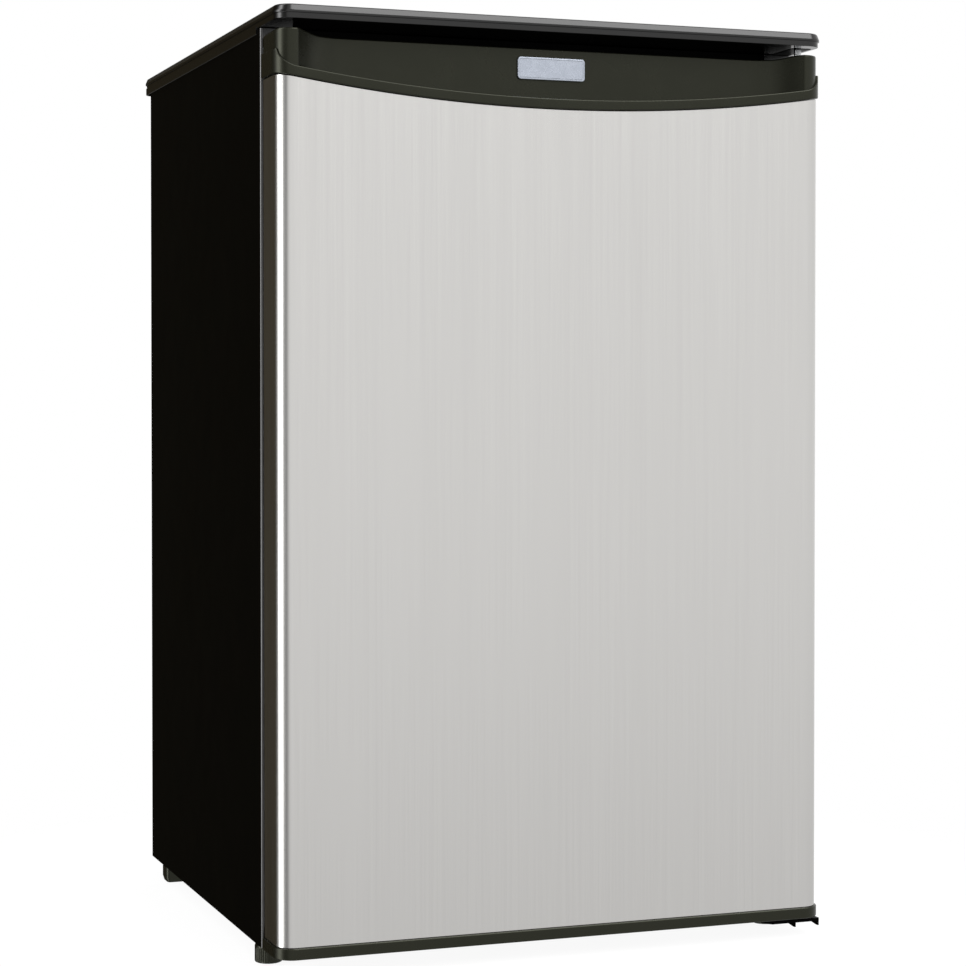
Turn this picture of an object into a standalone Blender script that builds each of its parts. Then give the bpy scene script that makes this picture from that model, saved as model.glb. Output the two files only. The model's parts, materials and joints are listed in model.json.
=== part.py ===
"""Compact refrigerator with one door, as an assembly of separate pieces.

Metres, +Z up, the door faces -Y.  The origin is the middle of the base at floor level.
"""
import math

import bmesh
import bpy

# ---------------------------------------------------------------- driving dimensions
WIDTH = 0.525                   # over the top cover and the door's end caps
DEPTH = 0.540                   # over the top cover
HEIGHT = 0.840                  # floor to the top of the cover
GAP = 0.0003                    # between pieces that touch
PROUD = 0.002                   # caps and cover stand this far outside the steel

# cabinet
SHEET = 0.0008                  # steel sheet
DOOR_ROOM = 0.063               # the cover reaches this far in front of the cabinet
CONDENSER_ROOM = 0.022          # and this far behind it
COVER = 0.0128                  # cover's thickness
SKIRT = 0.0047                  # cover's side skirts hang this far below its underside
CAB_HALF = WIDTH / 2 - PROUD    # outside of the side panels
CAB_FRONT = -DEPTH / 2 + DOOR_ROOM
CAB_BACK = DEPTH / 2 - CONDENSER_ROOM
PLATE_UNDER = 0.0130            # underside of the lower hinge plate
PLATE = 0.003
CAB_BOTTOM = PLATE_UNDER + PLATE + 0.0005
COVER_UNDER = HEIGHT - COVER
CAB_TOP = COVER_UNDER - GAP
COVER_SKIRT = COVER_UNDER - SKIRT
COVER_EDGE = 0.0065             # rounding of the cover's top edge
FOAM_HALF = CAB_HALF - SHEET - GAP

# compressor, and the ceiling of its bay
COMPRESSOR_X = 0.060
COMPRESSOR_R = 0.065
SEAM = 0.0045                   # welded seam stands proud of the pot
POT_HEIGHT = 0.130
MOUNT_PLATE_Z = CAB_BOTTOM + GAP
MOUNT_PLATE = 0.002
GROMMET = 0.0177                # lifts the leg plate over the mount
LEG_PLATE_Z = MOUNT_PLATE_Z + MOUNT_PLATE + GROMMET
LEG_PLATE = 0.004
LEG_X = 0.085                   # from the pot's middle to a leg's bolt
LEG_Y = 0.052
LEG_EDGE = 0.010                # leg plate around its bolts
POT_BASE = LEG_PLATE_Z + LEG_PLATE - 0.0005
POT_TOP = POT_BASE + POT_HEIGHT
TRAY_HALF = 0.050
TRAY_DEPTH = 0.020
TRAY_WALL = 0.0015
BAY_ROOM = 0.0147               # over the drip tray
BAY_CEILING = POT_TOP + GAP + TRAY_DEPTH + BAY_ROOM
BAY_WALL = 0.032                # between the bay and the food space
BAY_CHAMFER = 0.030
BASE_SHEET = 0.001
STUD_R = 0.003
GLAND_R = 0.0065
GLAND_X = -CAB_HALF + 0.0555

# food space, inside the liner
LINER = 0.0015
SIDE_WALL = 0.0385              # from the outside to the food space
BACK_WALL = 0.043
FLOOR_WALL = 0.050
ROOF_WALL = 0.0412
CAVITY_HALF = CAB_HALF - SIDE_WALL
CAVITY_BACK = CAB_BACK - BACK_WALL
CAVITY_FLOOR = CAB_BOTTOM + FLOOR_WALL
CAVITY_TOP = COVER_UNDER - ROOF_WALL
HUMP_DEPTH = 0.157              # the step over the compressor
HUMP_FRONT = CAVITY_BACK - HUMP_DEPTH
HUMP_TOP = BAY_CEILING + BAY_WALL
HUMP_CHAMFER = 0.030
LIP = 0.0087                    # liner's front lip, out to the steel frame
FRAME_WIDTH = SIDE_WALL - LIP - GAP     # steel frame that the gasket lands on

BAY_FRONT = HUMP_FRONT + BAY_WALL
COMPRESSOR_Y = BAY_FRONT + 0.085

# cooling circuit
TUBE_R = 0.003
CONDENSER_TUBE_R = 0.0025
CONDENSER_Y = CAB_BACK + 0.0095
CONDENSER_HALF = CAB_HALF - 0.0655
CONDENSER_LOW = BAY_CEILING + 0.057
CONDENSER_HIGH = COVER_UNDER - 0.0852
CONDENSER_ROWS = 9               # odd, so that the outlet is on the drier's side
CONDENSER_PITCH = (CONDENSER_HIGH - CONDENSER_LOW) / (CONDENSER_ROWS - 1)
SPACER_X = 0.150
RISER_X = CONDENSER_HALF + 0.017     # the discharge line climbs beside the condenser
DISCHARGE_Z = 0.080
DRIER_Y = CAB_BACK - 0.033
DRIER_LOW = 0.080
DRIER_LENGTH = 0.105
GRID_WIRES = 17
GRID_WIRE = 0.0018
EVAPORATOR_HALF = CAVITY_HALF - 0.047
EVAPORATOR_LOW = HUMP_TOP + 0.193
EVAPORATOR_HIGH = CAVITY_TOP - 0.026
EVAPORATOR = 0.0015             # plate's thickness
SUCTION_X = 0.150
SUCTION_Y = CAB_BACK - 0.020
SUCTION_Z = 0.122               # leaves the pot at this height
SUCTION_TOP = EVAPORATOR_LOW + 0.010
DRAIN_Y = BAY_FRONT + 0.106
DRAIN_R = 0.0045

# door
DOOR_FRONT = -DEPTH / 2 + 0.003
DOOR_BACK = CAB_FRONT - 0.0108   # back of the steel skin
BUSH_RIM = 0.0015               # the lower bushing's rim runs on the hinge plate
DOOR_BOTTOM = PLATE_UNDER + PLATE + BUSH_RIM + GAP
DOOR_CORNER = 0.016
BOTTOM_CAP = 0.0102
SKIN_BOTTOM = DOOR_BOTTOM + BOTTOM_CAP + GAP
SKIN_FLANGE = 0.010
DOOR_TOP = COVER_UNDER - 0.0072
ARC_LOW = DOOR_TOP - 0.0606     # middle of the skin's curved top edge
ARC_R = 1.620
RIM = 0.0093                    # dark rim between the skin and the recess ledge
SWEEP_START = CAB_HALF - 0.0165  # the ledge turns up from here to the door's side
SWEEP_RISE = 0.0125
RECESS_DEPTH = 0.025
RECESS_WALL = DOOR_FRONT + RECESS_DEPTH
RECESS_HALF = CAB_HALF - 0.0485
RECESS_END = CAB_HALF - 0.0175
WALL_TOP = DOOR_TOP - 0.0035
CAP_WALL = 0.0025
BADGE_HALF = 0.0325
BADGE_LOW = WALL_TOP - 0.0285
BADGE_HIGH = WALL_TOP - 0.0080
BADGE = 0.0015
DOOR_LINER_BACK = DOOR_BACK + GAP + LINER
DOOR_LINER_HALF = CAB_HALF - 0.0045
DOOR_LINER_LOW = SKIN_BOTTOM + 0.0027
DOOR_LINER_HIGH = DOOR_TOP - 0.0055
DYKE_HALF = CAVITY_HALF - 0.018  # outside of the raised frame that holds the bins
DYKE_WIDTH = 0.016
DYKE_BACK = CAB_FRONT + 0.057
DYKE_LOW = CAVITY_FLOOR + 0.0035
DYKE_HIGH = ARC_LOW - 0.0024
GASKET_HALF = CAVITY_HALF + 0.0235
GASKET_WIDTH = 0.015
GASKET_LOW = CAVITY_FLOOR - 0.024
GASKET_HIGH = CAVITY_TOP + 0.024

# door hinge
HINGE_X = CAB_HALF - 0.013
HINGE_Y = DOOR_FRONT + 0.024
UPPER_PIN_R = 0.003
LOWER_PIN_R = 0.004
BUSH_CLEARANCE = 0.0002
BUSH_WALL = 0.002
BUSH_FLANGE = 0.0022
UPPER_PLATE = 0.0025
PIN_DEPTH = 0.016
HINGE_IN = CAB_HALF - 0.0525    # inner side of both plates
EAR = 0.0014

# shelves and bins
RAIL_REACH = 0.008              # rails stand in from the cavity wall
RAIL_IN = CAVITY_HALF - RAIL_REACH
RAIL_HEIGHT = 0.006
RAIL_FRONT = CAB_FRONT + 0.087
RAIL_STEPS = (0.093, 0.095, 0.090, 0.085, 0.085)    # from the hump's top upwards
RAIL_ROOM = 0.101               # over the highest rail
RAIL_STRETCH = (CAVITY_TOP - RAIL_ROOM - HUMP_TOP) / sum(RAIL_STEPS)
RAIL_LEVELS = [HUMP_TOP + RAIL_STRETCH * sum(RAIL_STEPS[:count + 1]) for count in range(len(RAIL_STEPS))]
SHELF_LEVELS = {"upper": RAIL_LEVELS[3], "lower": RAIL_LEVELS[1]}
GLASS = 0.004
SHELF_FRONT = RAIL_FRONT + 0.008
SHELF_BACK = CAVITY_BACK - 0.010
SHELF_HALF = CAVITY_HALF - 0.0015
STRIP_WALL = 0.0022
STRIP_REACH = 0.010
CRISPER_COVER_Z = HUMP_TOP + GAP
CRISPER_COVER_BACK = HUMP_FRONT + 0.072
CRISPER_HALF = CAVITY_HALF - 0.040
CRISPER_FRONT = SHELF_FRONT - 0.001
CRISPER_BACK = HUMP_FRONT - 0.004
CRISPER_HEIGHT = HUMP_TOP - CAVITY_FLOOR - 0.0155
CRISPER_DRAFT = 0.004
CRISPER_WALL = 0.002
BIN_HALF = DYKE_HALF - DYKE_WIDTH - 0.0015
BIN_WALL = 0.002
BINS = {                        # name: floor, height, inner face
    "door_bin_upper": (DYKE_HIGH - 0.102, 0.055, DYKE_BACK - 0.008),
    "door_bin_middle": (DYKE_LOW + 0.360, 0.070, DYKE_BACK - 0.008),
    "bottle_bin": (DYKE_LOW + 0.0245, 0.120, DYKE_BACK + 0.007),
}
LUG_REACH = 0.005
LUG_HEIGHT = 0.006

# lamp and thermostat housing, on the right wall
HOUSING_IN = CAVITY_HALF - 0.032
HOUSING_FRONT = CAB_FRONT + 0.069
HOUSING_BACK = HOUSING_FRONT + 0.120
HOUSING_HIGH = CAVITY_TOP - 0.017
HOUSING_LOW = HOUSING_HIGH - 0.060
KNOB_Y = HOUSING_FRONT + 0.026
KNOB_Z = (HOUSING_LOW + HOUSING_HIGH) / 2
KNOB_R = 0.017
KNOB_SHAFT_R = 0.0035
KNOB_SHAFT = 0.010
LAMP_FRONT = HOUSING_FRONT + 0.054
LAMP_BACK = HOUSING_BACK - 0.008
LAMP_X = HOUSING_IN + 0.0055
LAMP_R = 0.010
LAMP_COVER_IN = HOUSING_IN - 0.011
PLUNGER_X = DYKE_HALF - DYKE_WIDTH / 2
PLUNGER_Z = DYKE_HIGH - 0.010
PLUNGER_R = 0.004
PLUNGER_DEPTH = 0.016           # inside the housing

# feet
LEFT_FOOT = (-CAB_HALF + 0.0115, CAB_FRONT + 0.019)
RIGHT_FOOT = (CAB_HALF - 0.022, CAB_FRONT + 0.012)
FOOT_R = 0.0125
STEM_R = 0.004
STEM_TOP = 0.034
REAR_FOOT_X = (CAB_HALF - 0.0245, CAB_HALF - 0.0005)
REAR_FOOT_Y = (CAB_BACK - 0.068, CAB_BACK - 0.044)

SCREW_HEAD_R = 0.0045
SCREW_HEAD = 0.0022
SCREW_R = 0.0019
LOWER_SCREWS = ((CAB_HALF - 0.0405, CAB_FRONT + 0.035), (CAB_HALF - 0.0115, CAB_FRONT + 0.044))
UPPER_SCREWS = ((CAB_HALF - 0.0385, CAB_FRONT + 0.039), (CAB_HALF - 0.0145, CAB_FRONT + 0.027))
LOWER_SCREW_TIP = PLATE_UNDER + 0.016
UPPER_SCREW_TIP = COVER_UNDER - 0.012


# ---------------------------------------------------------------- materials
def material(name, color, roughness, metallic=0.0, alpha=1.0):
    made = bpy.data.materials.new(name)
    made.use_nodes = True
    shader = made.node_tree.nodes["Principled BSDF"]
    shader.inputs["Base Color"].default_value = (*color, 1.0)
    shader.inputs["Roughness"].default_value = roughness
    shader.inputs["Metallic"].default_value = metallic
    shader.inputs["Alpha"].default_value = alpha
    made.diffuse_color = (*color, alpha)
    return made


GLOSS_BLACK = ((0.012, 0.012, 0.012), 0.25)
SATIN_BLACK = ((0.028, 0.028, 0.025), 0.40)
BLACK_PAINT = ((0.008, 0.008, 0.009), 0.30)
WHITE = ((0.80, 0.82, 0.82), 0.35)
STEEL = ((0.56, 0.55, 0.53), 0.35, 1.0)
ZINC = ((0.55, 0.56, 0.57), 0.40, 1.0)
COPPER = ((0.72, 0.36, 0.20), 0.35, 1.0)
RUBBER = ((0.02, 0.02, 0.02), 0.80)
FOAM = ((0.86, 0.74, 0.44), 0.90)
CLEAR = ((0.82, 0.88, 0.90), 0.08, 0.0, 0.45)
BADGE_SILVER = ((0.60, 0.62, 0.66), 0.30, 1.0)
ALUMINIUM = ((0.75, 0.76, 0.77), 0.35, 1.0)
BULB = ((0.90, 0.88, 0.80), 0.15)


# ---------------------------------------------------------------- mesh helpers
def finish(name, bm, paint, at=(0.0, 0.0, 0.0), smooth=None):
    """Turn a bmesh in world coordinates into an object whose origin is at `at`."""
    bmesh.ops.translate(bm, verts=bm.verts, vec=[-value for value in at])
    bmesh.ops.recalc_face_normals(bm, faces=bm.faces)
    mesh = bpy.data.meshes.new(name)
    bm.to_mesh(mesh)
    bm.free()
    if smooth is not None:
        mesh.shade_smooth()
        mesh.set_sharp_from_angle(angle=math.radians(smooth))
    made = bpy.data.objects.new(name, mesh)
    made.location = at
    bpy.context.collection.objects.link(made)
    if paint is not None:
        mesh.materials.append(material(name, *paint))
    return made


def add_box(bm, low, high):
    corners = [bm.verts.new((x, y, z)) for x in (low[0], high[0])
               for y in (low[1], high[1]) for z in (low[2], high[2])]
    for face in ((0, 1, 3, 2), (4, 6, 7, 5), (0, 4, 5, 1), (2, 3, 7, 6), (0, 2, 6, 4), (1, 5, 7, 3)):
        bm.faces.new([corners[index] for index in face])


def boxes(name, pairs, paint=None, at=(0.0, 0.0, 0.0)):
    bm = bmesh.new()
    for low, high in pairs:
        add_box(bm, low, high)
    return finish(name, bm, paint, at)


def add_loft(bm, rings):
    """Closed solid through rings of points that all have the same length."""
    loops = [[bm.verts.new(point) for point in ring] for ring in rings]
    for one, two in zip(loops, loops[1:]):
        for index in range(len(one)):
            after = (index + 1) % len(one)
            bm.faces.new((one[index], one[after], two[after], two[index]))
    bm.faces.new(loops[0][::-1])
    bm.faces.new(loops[-1])


def loft(name, rings, paint=None, at=(0.0, 0.0, 0.0), smooth=None):
    bm = bmesh.new()
    add_loft(bm, rings)
    return finish(name, bm, paint, at, smooth)


def prism_x(name, outline, half, paint=None):
    """A (y, z) outline pulled from -half to +half along X."""
    return loft(name, [[(x, y, z) for y, z in outline] for x in (-half, half)], paint)


def prism_z(name, outline, low, high, paint=None):
    """An (x, y) outline pulled from low to high along Z."""
    return loft(name, [[(x, y, z) for x, y in outline] for z in (low, high)], paint)


def add_turned(bm, profile, at, axis, segments):
    """Spin (radius, height) points about an axis of the world through `at`."""
    closed = profile[0][0] > 0.0
    place = {"X": lambda r, h: (at[0] + h, at[1] + r, at[2]),
             "Y": lambda r, h: (at[0] + r, at[1] + h, at[2]),
             "Z": lambda r, h: (at[0] + r, at[1], at[2] + h)}[axis]
    points = [bm.verts.new(place(r, h)) for r, h in profile]
    ends = points[1:] + points[:1] if closed else points[1:]
    edges = [bm.edges.new(pair) for pair in zip(points, ends)]
    direction = [float(axis == name) for name in "XYZ"]
    bmesh.ops.spin(bm, geom=points + edges, cent=at, axis=direction, angle=math.tau,
                   steps=segments, use_merge=True)


def turned(name, profile, at, axis, paint, segments=20, smooth=40):
    bm = bmesh.new()
    add_turned(bm, profile, at, axis, segments)
    bmesh.ops.remove_doubles(bm, verts=bm.verts, dist=1e-6)
    return finish(name, bm, paint, at, smooth)


def cylinders(name, places, segments=14):
    """One cutter of upright cylinders, each (x, y, low, high, radius)."""
    bm = bmesh.new()
    for x, y, low, high, radius in places:
        ring = [(x + radius * math.cos(turn), y + radius * math.sin(turn))
                for turn in (math.tau * step / segments for step in range(segments))]
        add_loft(bm, [[(px, py, z) for px, py in ring] for z in (low, high)])
    return finish(name, bm, None)


def rounded_path(corners, radius, steps=4):
    """Replace each inner corner of a path by an arc of the given radius."""
    path = [corners[0]]
    for before, corner, after in zip(corners, corners[1:], corners[2:]):
        into = [b - c for b, c in zip(before, corner)]
        out = [a - c for a, c in zip(after, corner)]
        into = [value / math.hypot(*into) for value in into]
        out = [value / math.hypot(*out) for value in out]
        half = math.acos(sum(a * b for a, b in zip(into, out))) / 2
        toward = [a + b for a, b in zip(into, out)]
        toward = [value / math.hypot(*toward) for value in toward]
        centre = [c + t * radius / math.sin(half) for c, t in zip(corner, toward)]
        start = [c + i * radius / math.tan(half) - m for c, i, m in zip(corner, into, centre)]
        end = [c + o * radius / math.tan(half) - m for c, o, m in zip(corner, out, centre)]
        sweep = math.pi - 2 * half
        for step in range(steps + 1):
            part = step / steps
            first = math.sin((1 - part) * sweep) / math.sin(sweep)
            last = math.sin(part * sweep) / math.sin(sweep)
            path.append([m + a * first + b * last for m, a, b in zip(centre, start, end)])
    path.append(corners[-1])
    return path


def tube(name, path, radius, paint):
    """A round tube with filled ends along a path."""
    curve = bpy.data.curves.new(name, "CURVE")
    curve.dimensions = "3D"
    curve.bevel_depth = radius
    curve.bevel_resolution = 2
    curve.use_fill_caps = True
    line = curve.splines.new("POLY")
    line.points.add(len(path) - 1)
    for point, place in zip(line.points, path):
        point.co = (*place, 1.0)
    made = bpy.data.objects.new(name, curve)
    bpy.context.collection.objects.link(made)
    if paint is not None:
        curve.materials.append(material(name, *paint))
    return made


def hide(cutter):
    cutter.hide_render = True
    cutter.display_type = "WIRE"
    return cutter


def combine(target, cutter, operation="DIFFERENCE"):
    hide(cutter)
    change = target.modifiers.new(cutter.name, "BOOLEAN")
    change.operation = operation
    change.solver = "EXACT"
    change.object = cutter
    return target


# ---------------------------------------------------------------- shared shapes
def arc_edge(x):
    """Height of the skin's curved top edge at x."""
    return ARC_LOW + ARC_R - math.sqrt(ARC_R ** 2 - x ** 2)


def ledge(x):
    """Height of the recess ledge: it follows the arc, then turns up to the door's side."""
    reach = max(0.0, min(1.0, (abs(x) - SWEEP_START) / (CAB_HALF - SWEEP_START)))
    return arc_edge(x) + RIM + SWEEP_RISE * (1 - math.sqrt(1 - reach ** 2))


def ease(low, high, value):
    part = max(0.0, min(1.0, (value - low) / (high - low)))
    return part * part * (3 - 2 * part)


def door_front(x, outset=0.0):
    """Front of the door's plan at x: flat, with a round corner at each side."""
    radius = DOOR_CORNER + outset
    into = abs(x) - (CAB_HALF - DOOR_CORNER)
    drop = 0.0 if into <= 0 else radius - math.sqrt(max(0.0, radius ** 2 - into ** 2))
    return DOOR_FRONT - outset + drop


def door_stations(outset=0.0, flat_steps=7, corner_steps=5):
    """x places across the door, close together where the corner turns."""
    start = CAB_HALF - DOOR_CORNER
    radius = DOOR_CORNER + outset
    half = [start * step / flat_steps for step in range(flat_steps + 1)]
    half += [start + radius * math.sin(math.pi / 2 * step / corner_steps)
             for step in range(1, corner_steps + 1)]
    return [-x for x in half[:0:-1]] + half


def plan_outline(inset, front_radius=0.016, back_radius=0.008, steps=5):
    """Plan of the top cover with round corners, moved in by `inset`."""
    half = WIDTH / 2 - inset
    front = -DEPTH / 2 + inset
    back = DEPTH / 2 - inset
    corners = ((half, front, front_radius, -90), (half, back, back_radius, 0),
               (-half, back, back_radius, 90), (-half, front, front_radius, 180))
    outline = []
    for x, y, radius, start in corners:
        centre_x = x - math.copysign(radius, x)
        centre_y = y - math.copysign(radius, y)
        for step in range(steps + 1):
            turn = math.radians(start + 90 * step / steps)
            outline.append((centre_x + radius * math.cos(turn), centre_y + radius * math.sin(turn)))
    return outline


def cavity_profile(grow, front):
    """Side view of the food space, grown outwards by `grow`."""
    floor = CAVITY_FLOOR - grow
    back = CAVITY_BACK + grow
    slope = grow * math.tan(math.pi / 8)
    return [(front, floor), (HUMP_FRONT + grow, floor),
            (HUMP_FRONT + grow, HUMP_TOP - HUMP_CHAMFER - slope),
            (HUMP_FRONT + HUMP_CHAMFER + slope, HUMP_TOP - grow),
            (back, HUMP_TOP - grow), (back, CAVITY_TOP + grow), (front, CAVITY_TOP + grow)]


def base_line(grow):
    """Side view of the stepped floor panel, from the front to the back, moved up by `grow`."""
    slope = grow * math.tan(math.pi / 8)
    return [(CAB_FRONT + grow, CAB_BOTTOM + grow), (BAY_FRONT - grow, CAB_BOTTOM + grow),
            (BAY_FRONT - grow, BAY_CEILING - BAY_CHAMFER + slope),
            (BAY_FRONT + BAY_CHAMFER - slope, BAY_CEILING + grow),
            (CAB_BACK - SHEET - GAP, BAY_CEILING + grow)]


# ---------------------------------------------------------------- cabinet
def side_panel(name, side):
    """Folded sheet: the side, and the front frame flange that the gasket lands on."""
    out = side * CAB_HALF
    inner = side * (CAB_HALF - SHEET)
    edge = side * (CAB_HALF - FRAME_WIDTH)
    outline = [(out, CAB_FRONT), (out, CAB_BACK), (inner, CAB_BACK),
               (inner, CAB_FRONT + SHEET), (edge, CAB_FRONT + SHEET), (edge, CAB_FRONT)]
    prism_z(name, outline, CAB_BOTTOM, CAB_TOP, BLACK_PAINT)


def top_panel():
    """Sheet over the foam with a flange down its front."""
    half = CAB_HALF - FRAME_WIDTH - GAP
    bm = bmesh.new()
    low = CAVITY_TOP + LIP + GAP
    outline = [(CAB_FRONT, low), (CAB_FRONT + SHEET, low), (CAB_FRONT + SHEET, CAB_TOP - SHEET),
               (CAB_BACK, CAB_TOP - SHEET), (CAB_BACK, CAB_TOP), (CAB_FRONT, CAB_TOP)]
    add_loft(bm, [[(x, y, z) for y, z in outline] for x in (-half, half)])
    panel = finish("top_panel", bm, BLACK_PAINT)
    wings = boxes("top_panel_wings", [
        ((-FOAM_HALF, CAB_FRONT + SHEET + GAP, CAB_TOP - SHEET), (FOAM_HALF, CAB_BACK - 0.002, CAB_TOP))])
    combine(panel, wings, "UNION")
    holes = [(x, y, CAB_TOP - 0.01, CAB_TOP + 0.01, SCREW_R + GAP) for x, y in UPPER_SCREWS]
    combine(panel, cylinders("top_panel_holes", holes))


def back_panel():
    boxes("back_panel", [((-FOAM_HALF, CAB_BACK - SHEET, BAY_CEILING),
                          (FOAM_HALF, CAB_BACK, CAB_TOP - SHEET - GAP))], BLACK_PAINT)


def base_panel():
    """Stepped floor: the front frame rail, the bottom, and the walls of the machine bay."""
    half = CAB_HALF - FRAME_WIDTH - GAP
    rail_top = CAVITY_FLOOR - LIP - GAP
    outline = [(CAB_FRONT, rail_top)] + base_line(0.0)
    outline += base_line(BASE_SHEET)[::-1] + [(CAB_FRONT + BASE_SHEET, rail_top)]
    panel = prism_x("base_panel", outline, half, BLACK_PAINT)
    wide = base_line(0.0)[1:] + base_line(BASE_SHEET)[:0:-1]
    wing_front = CAB_FRONT + BASE_SHEET + GAP
    wide = [(wing_front, CAB_BOTTOM)] + wide + [(wing_front, CAB_BOTTOM + BASE_SHEET)]
    combine(panel, prism_x("base_panel_wings", wide, FOAM_HALF), "UNION")
    low = CAB_BOTTOM - 0.01
    high = CAB_BOTTOM + 0.01
    holes = [(x, y, low, high, STEM_R + GAP) for x, y in (LEFT_FOOT, RIGHT_FOOT)]
    holes += [(x, y, low, high, SCREW_R + GAP) for x, y in LOWER_SCREWS]
    ceiling = (BAY_CEILING - 0.01, BAY_CEILING + 0.01)
    holes.append((COMPRESSOR_X, DRAIN_Y, *ceiling, DRAIN_R + GAP))
    holes.append((SUCTION_X, SUCTION_Y, *ceiling, TUBE_R + 2 * GAP))
    combine(panel, cylinders("base_panel_holes", holes))


def insulation():
    """Foam between the outer sheets and the liner."""
    grow = BASE_SHEET + GAP
    front = CAB_FRONT + LINER + 2 * GAP
    top = CAB_TOP - SHEET - GAP
    outline = base_line(grow)
    outline[0] = (front, outline[0][1])
    back = outline[-1][0]
    foam = prism_x("insulation", outline + [(back, top), (front, top)], FOAM_HALF, FOAM)
    hollow = prism_x("foam_hollow", cavity_profile(LINER + GAP, CAB_FRONT - 0.02),
                     CAVITY_HALF + LINER + GAP)
    combine(foam, hollow)
    wall = CAVITY_BACK + LINER
    pocket = boxes("foam_evaporator_pocket", [
        ((-EVAPORATOR_HALF - GAP, wall - 0.001, EVAPORATOR_LOW - GAP),
         (EVAPORATOR_HALF + GAP, wall + EVAPORATOR + 3 * GAP, EVAPORATOR_HIGH + GAP))])
    combine(foam, pocket)
    holes = [(x, y, CAB_BOTTOM - 0.01, STEM_TOP + 0.002, STEM_R + 0.001)
             for x, y in (LEFT_FOOT, RIGHT_FOOT)]
    holes += [(x, y, CAB_BOTTOM - 0.01, LOWER_SCREW_TIP + 0.001, SCREW_R + GAP)
              for x, y in LOWER_SCREWS]
    holes += [(x, y, UPPER_SCREW_TIP - 0.001, CAB_TOP + 0.01, SCREW_R + GAP)
              for x, y in UPPER_SCREWS]
    holes.append((COMPRESSOR_X, DRAIN_Y, BAY_CEILING - 0.02, HUMP_TOP + 0.01, DRAIN_R + GAP))
    holes.append((SUCTION_X, SUCTION_Y, BAY_CEILING - 0.02, SUCTION_TOP + TUBE_R + 0.001,
                  TUBE_R + 2 * GAP))
    combine(foam, cylinders("foam_holes", holes))
    slot = boxes("foam_suction_slot", [
        ((SUCTION_X - TUBE_R - GAP, CAVITY_BACK, SUCTION_TOP - 0.02),
         (SUCTION_X + TUBE_R + GAP, SUCTION_Y + TUBE_R, SUCTION_TOP + TUBE_R + GAP))])
    combine(foam, slot)


def inner_liner():
    """Moulded tub with a front lip, a step over the compressor, and shelf rails."""
    shell = prism_x("inner_liner", cavity_profile(LINER, CAB_FRONT + GAP), CAVITY_HALF + LINER, WHITE)
    lip = boxes("liner_lip", [
        ((-CAVITY_HALF - LIP, CAB_FRONT + GAP / 2, CAVITY_FLOOR - LIP),
         (CAVITY_HALF + LIP, CAB_FRONT + GAP + LINER, CAVITY_TOP + LIP))])
    combine(shell, lip, "UNION")
    combine(shell, prism_x("liner_space", cavity_profile(0.0, CAB_FRONT - 0.02), CAVITY_HALF))
    rails = []
    for level in RAIL_LEVELS:
        for side in (-1, 1):
            ends = sorted((side * RAIL_IN, side * (CAVITY_HALF + LINER / 2)))
            rails.append(((ends[0], RAIL_FRONT, level - RAIL_HEIGHT), (ends[1], SHELF_BACK, level)))
    for side in (-1, 1):
        ends = sorted((side * RAIL_IN, side * (CAVITY_HALF + LINER / 2)))
        rails.append(((ends[0], RAIL_FRONT, HUMP_TOP - RAIL_HEIGHT),
                      (ends[1], HUMP_FRONT + 0.02, HUMP_TOP)))
    combine(shell, boxes("liner_rails", rails), "UNION")
    hole = (COMPRESSOR_X, DRAIN_Y, HUMP_TOP - 0.01, HUMP_TOP + 0.01, DRAIN_R + GAP)
    combine(shell, cylinders("liner_drain_hole", [hole]))


def top_cover():
    """Moulded lid: it overhangs the door in front and the condenser at the back."""
    rounding = [(0.0, COVER_SKIRT)]
    rounding += [(COVER_EDGE * inset, HEIGHT - COVER_EDGE * drop)
                 for inset, drop in ((0.0, 1.0), (0.18, 0.46), (0.54, 0.12), (1.0, 0.0))]
    rings = [[(x, y, z) for x, y in plan_outline(inset)] for inset, z in rounding]
    cover = loft("top_cover", rings, GLOSS_BLACK, smooth=50)
    low = COVER_SKIRT - 0.01
    skirt_inner = [(x, y) for x, y in plan_outline(PROUD - GAP)]
    combine(cover, prism_z("cover_skirt_space", skirt_inner, low, COVER_UNDER))
    front = boxes("cover_front_space", [
        ((-WIDTH, -DEPTH, low), (WIDTH, CAB_FRONT + 0.009, COVER_UNDER))])
    combine(cover, front)
    wall = 0.0035
    rib = 0.003
    edge = CAB_HALF - 0.0285
    back = DEPTH / 2 - 0.035
    ribs = boxes("cover_hollow", [
        ((-edge, CAB_FRONT + 0.015, COVER_UNDER - 0.001), (-rib, back, HEIGHT - wall)),
        ((rib, CAB_FRONT + 0.065, COVER_UNDER - 0.001), (edge, back, HEIGHT - wall))])
    combine(cover, ribs)
    plate = prism_z("cover_hinge_pocket", upper_plate_outline(0.0005), COVER_UNDER - 0.001,
                    COVER_UNDER + UPPER_PLATE + SCREW_HEAD + 3 * GAP)
    combine(cover, plate)


# ---------------------------------------------------------------- feet
def front_foot(name, place, height):
    """Levelling foot with a threaded stem; it turns about its own axis."""
    ridge = 0.0007
    rings = 3
    profile = [(0.0, 0.0), (FOOT_R - 0.001, 0.0), (FOOT_R, 0.001)]
    pitch = (height - 0.003) / rings
    for ring in range(rings):
        base = 0.001 + ring * pitch
        profile += [(FOOT_R, base + 0.6 * pitch), (FOOT_R - ridge, base + 0.7 * pitch),
                    (FOOT_R - ridge, base + 0.9 * pitch), (FOOT_R, base + pitch)]
    profile += [(FOOT_R, height - 0.001), (FOOT_R - 0.001, height), (STEM_R, height),
                (STEM_R, STEM_TOP), (0.0, STEM_TOP)]
    turned(name, profile, (*place, 0.0), "Z", SATIN_BLACK, segments=18)


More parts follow.
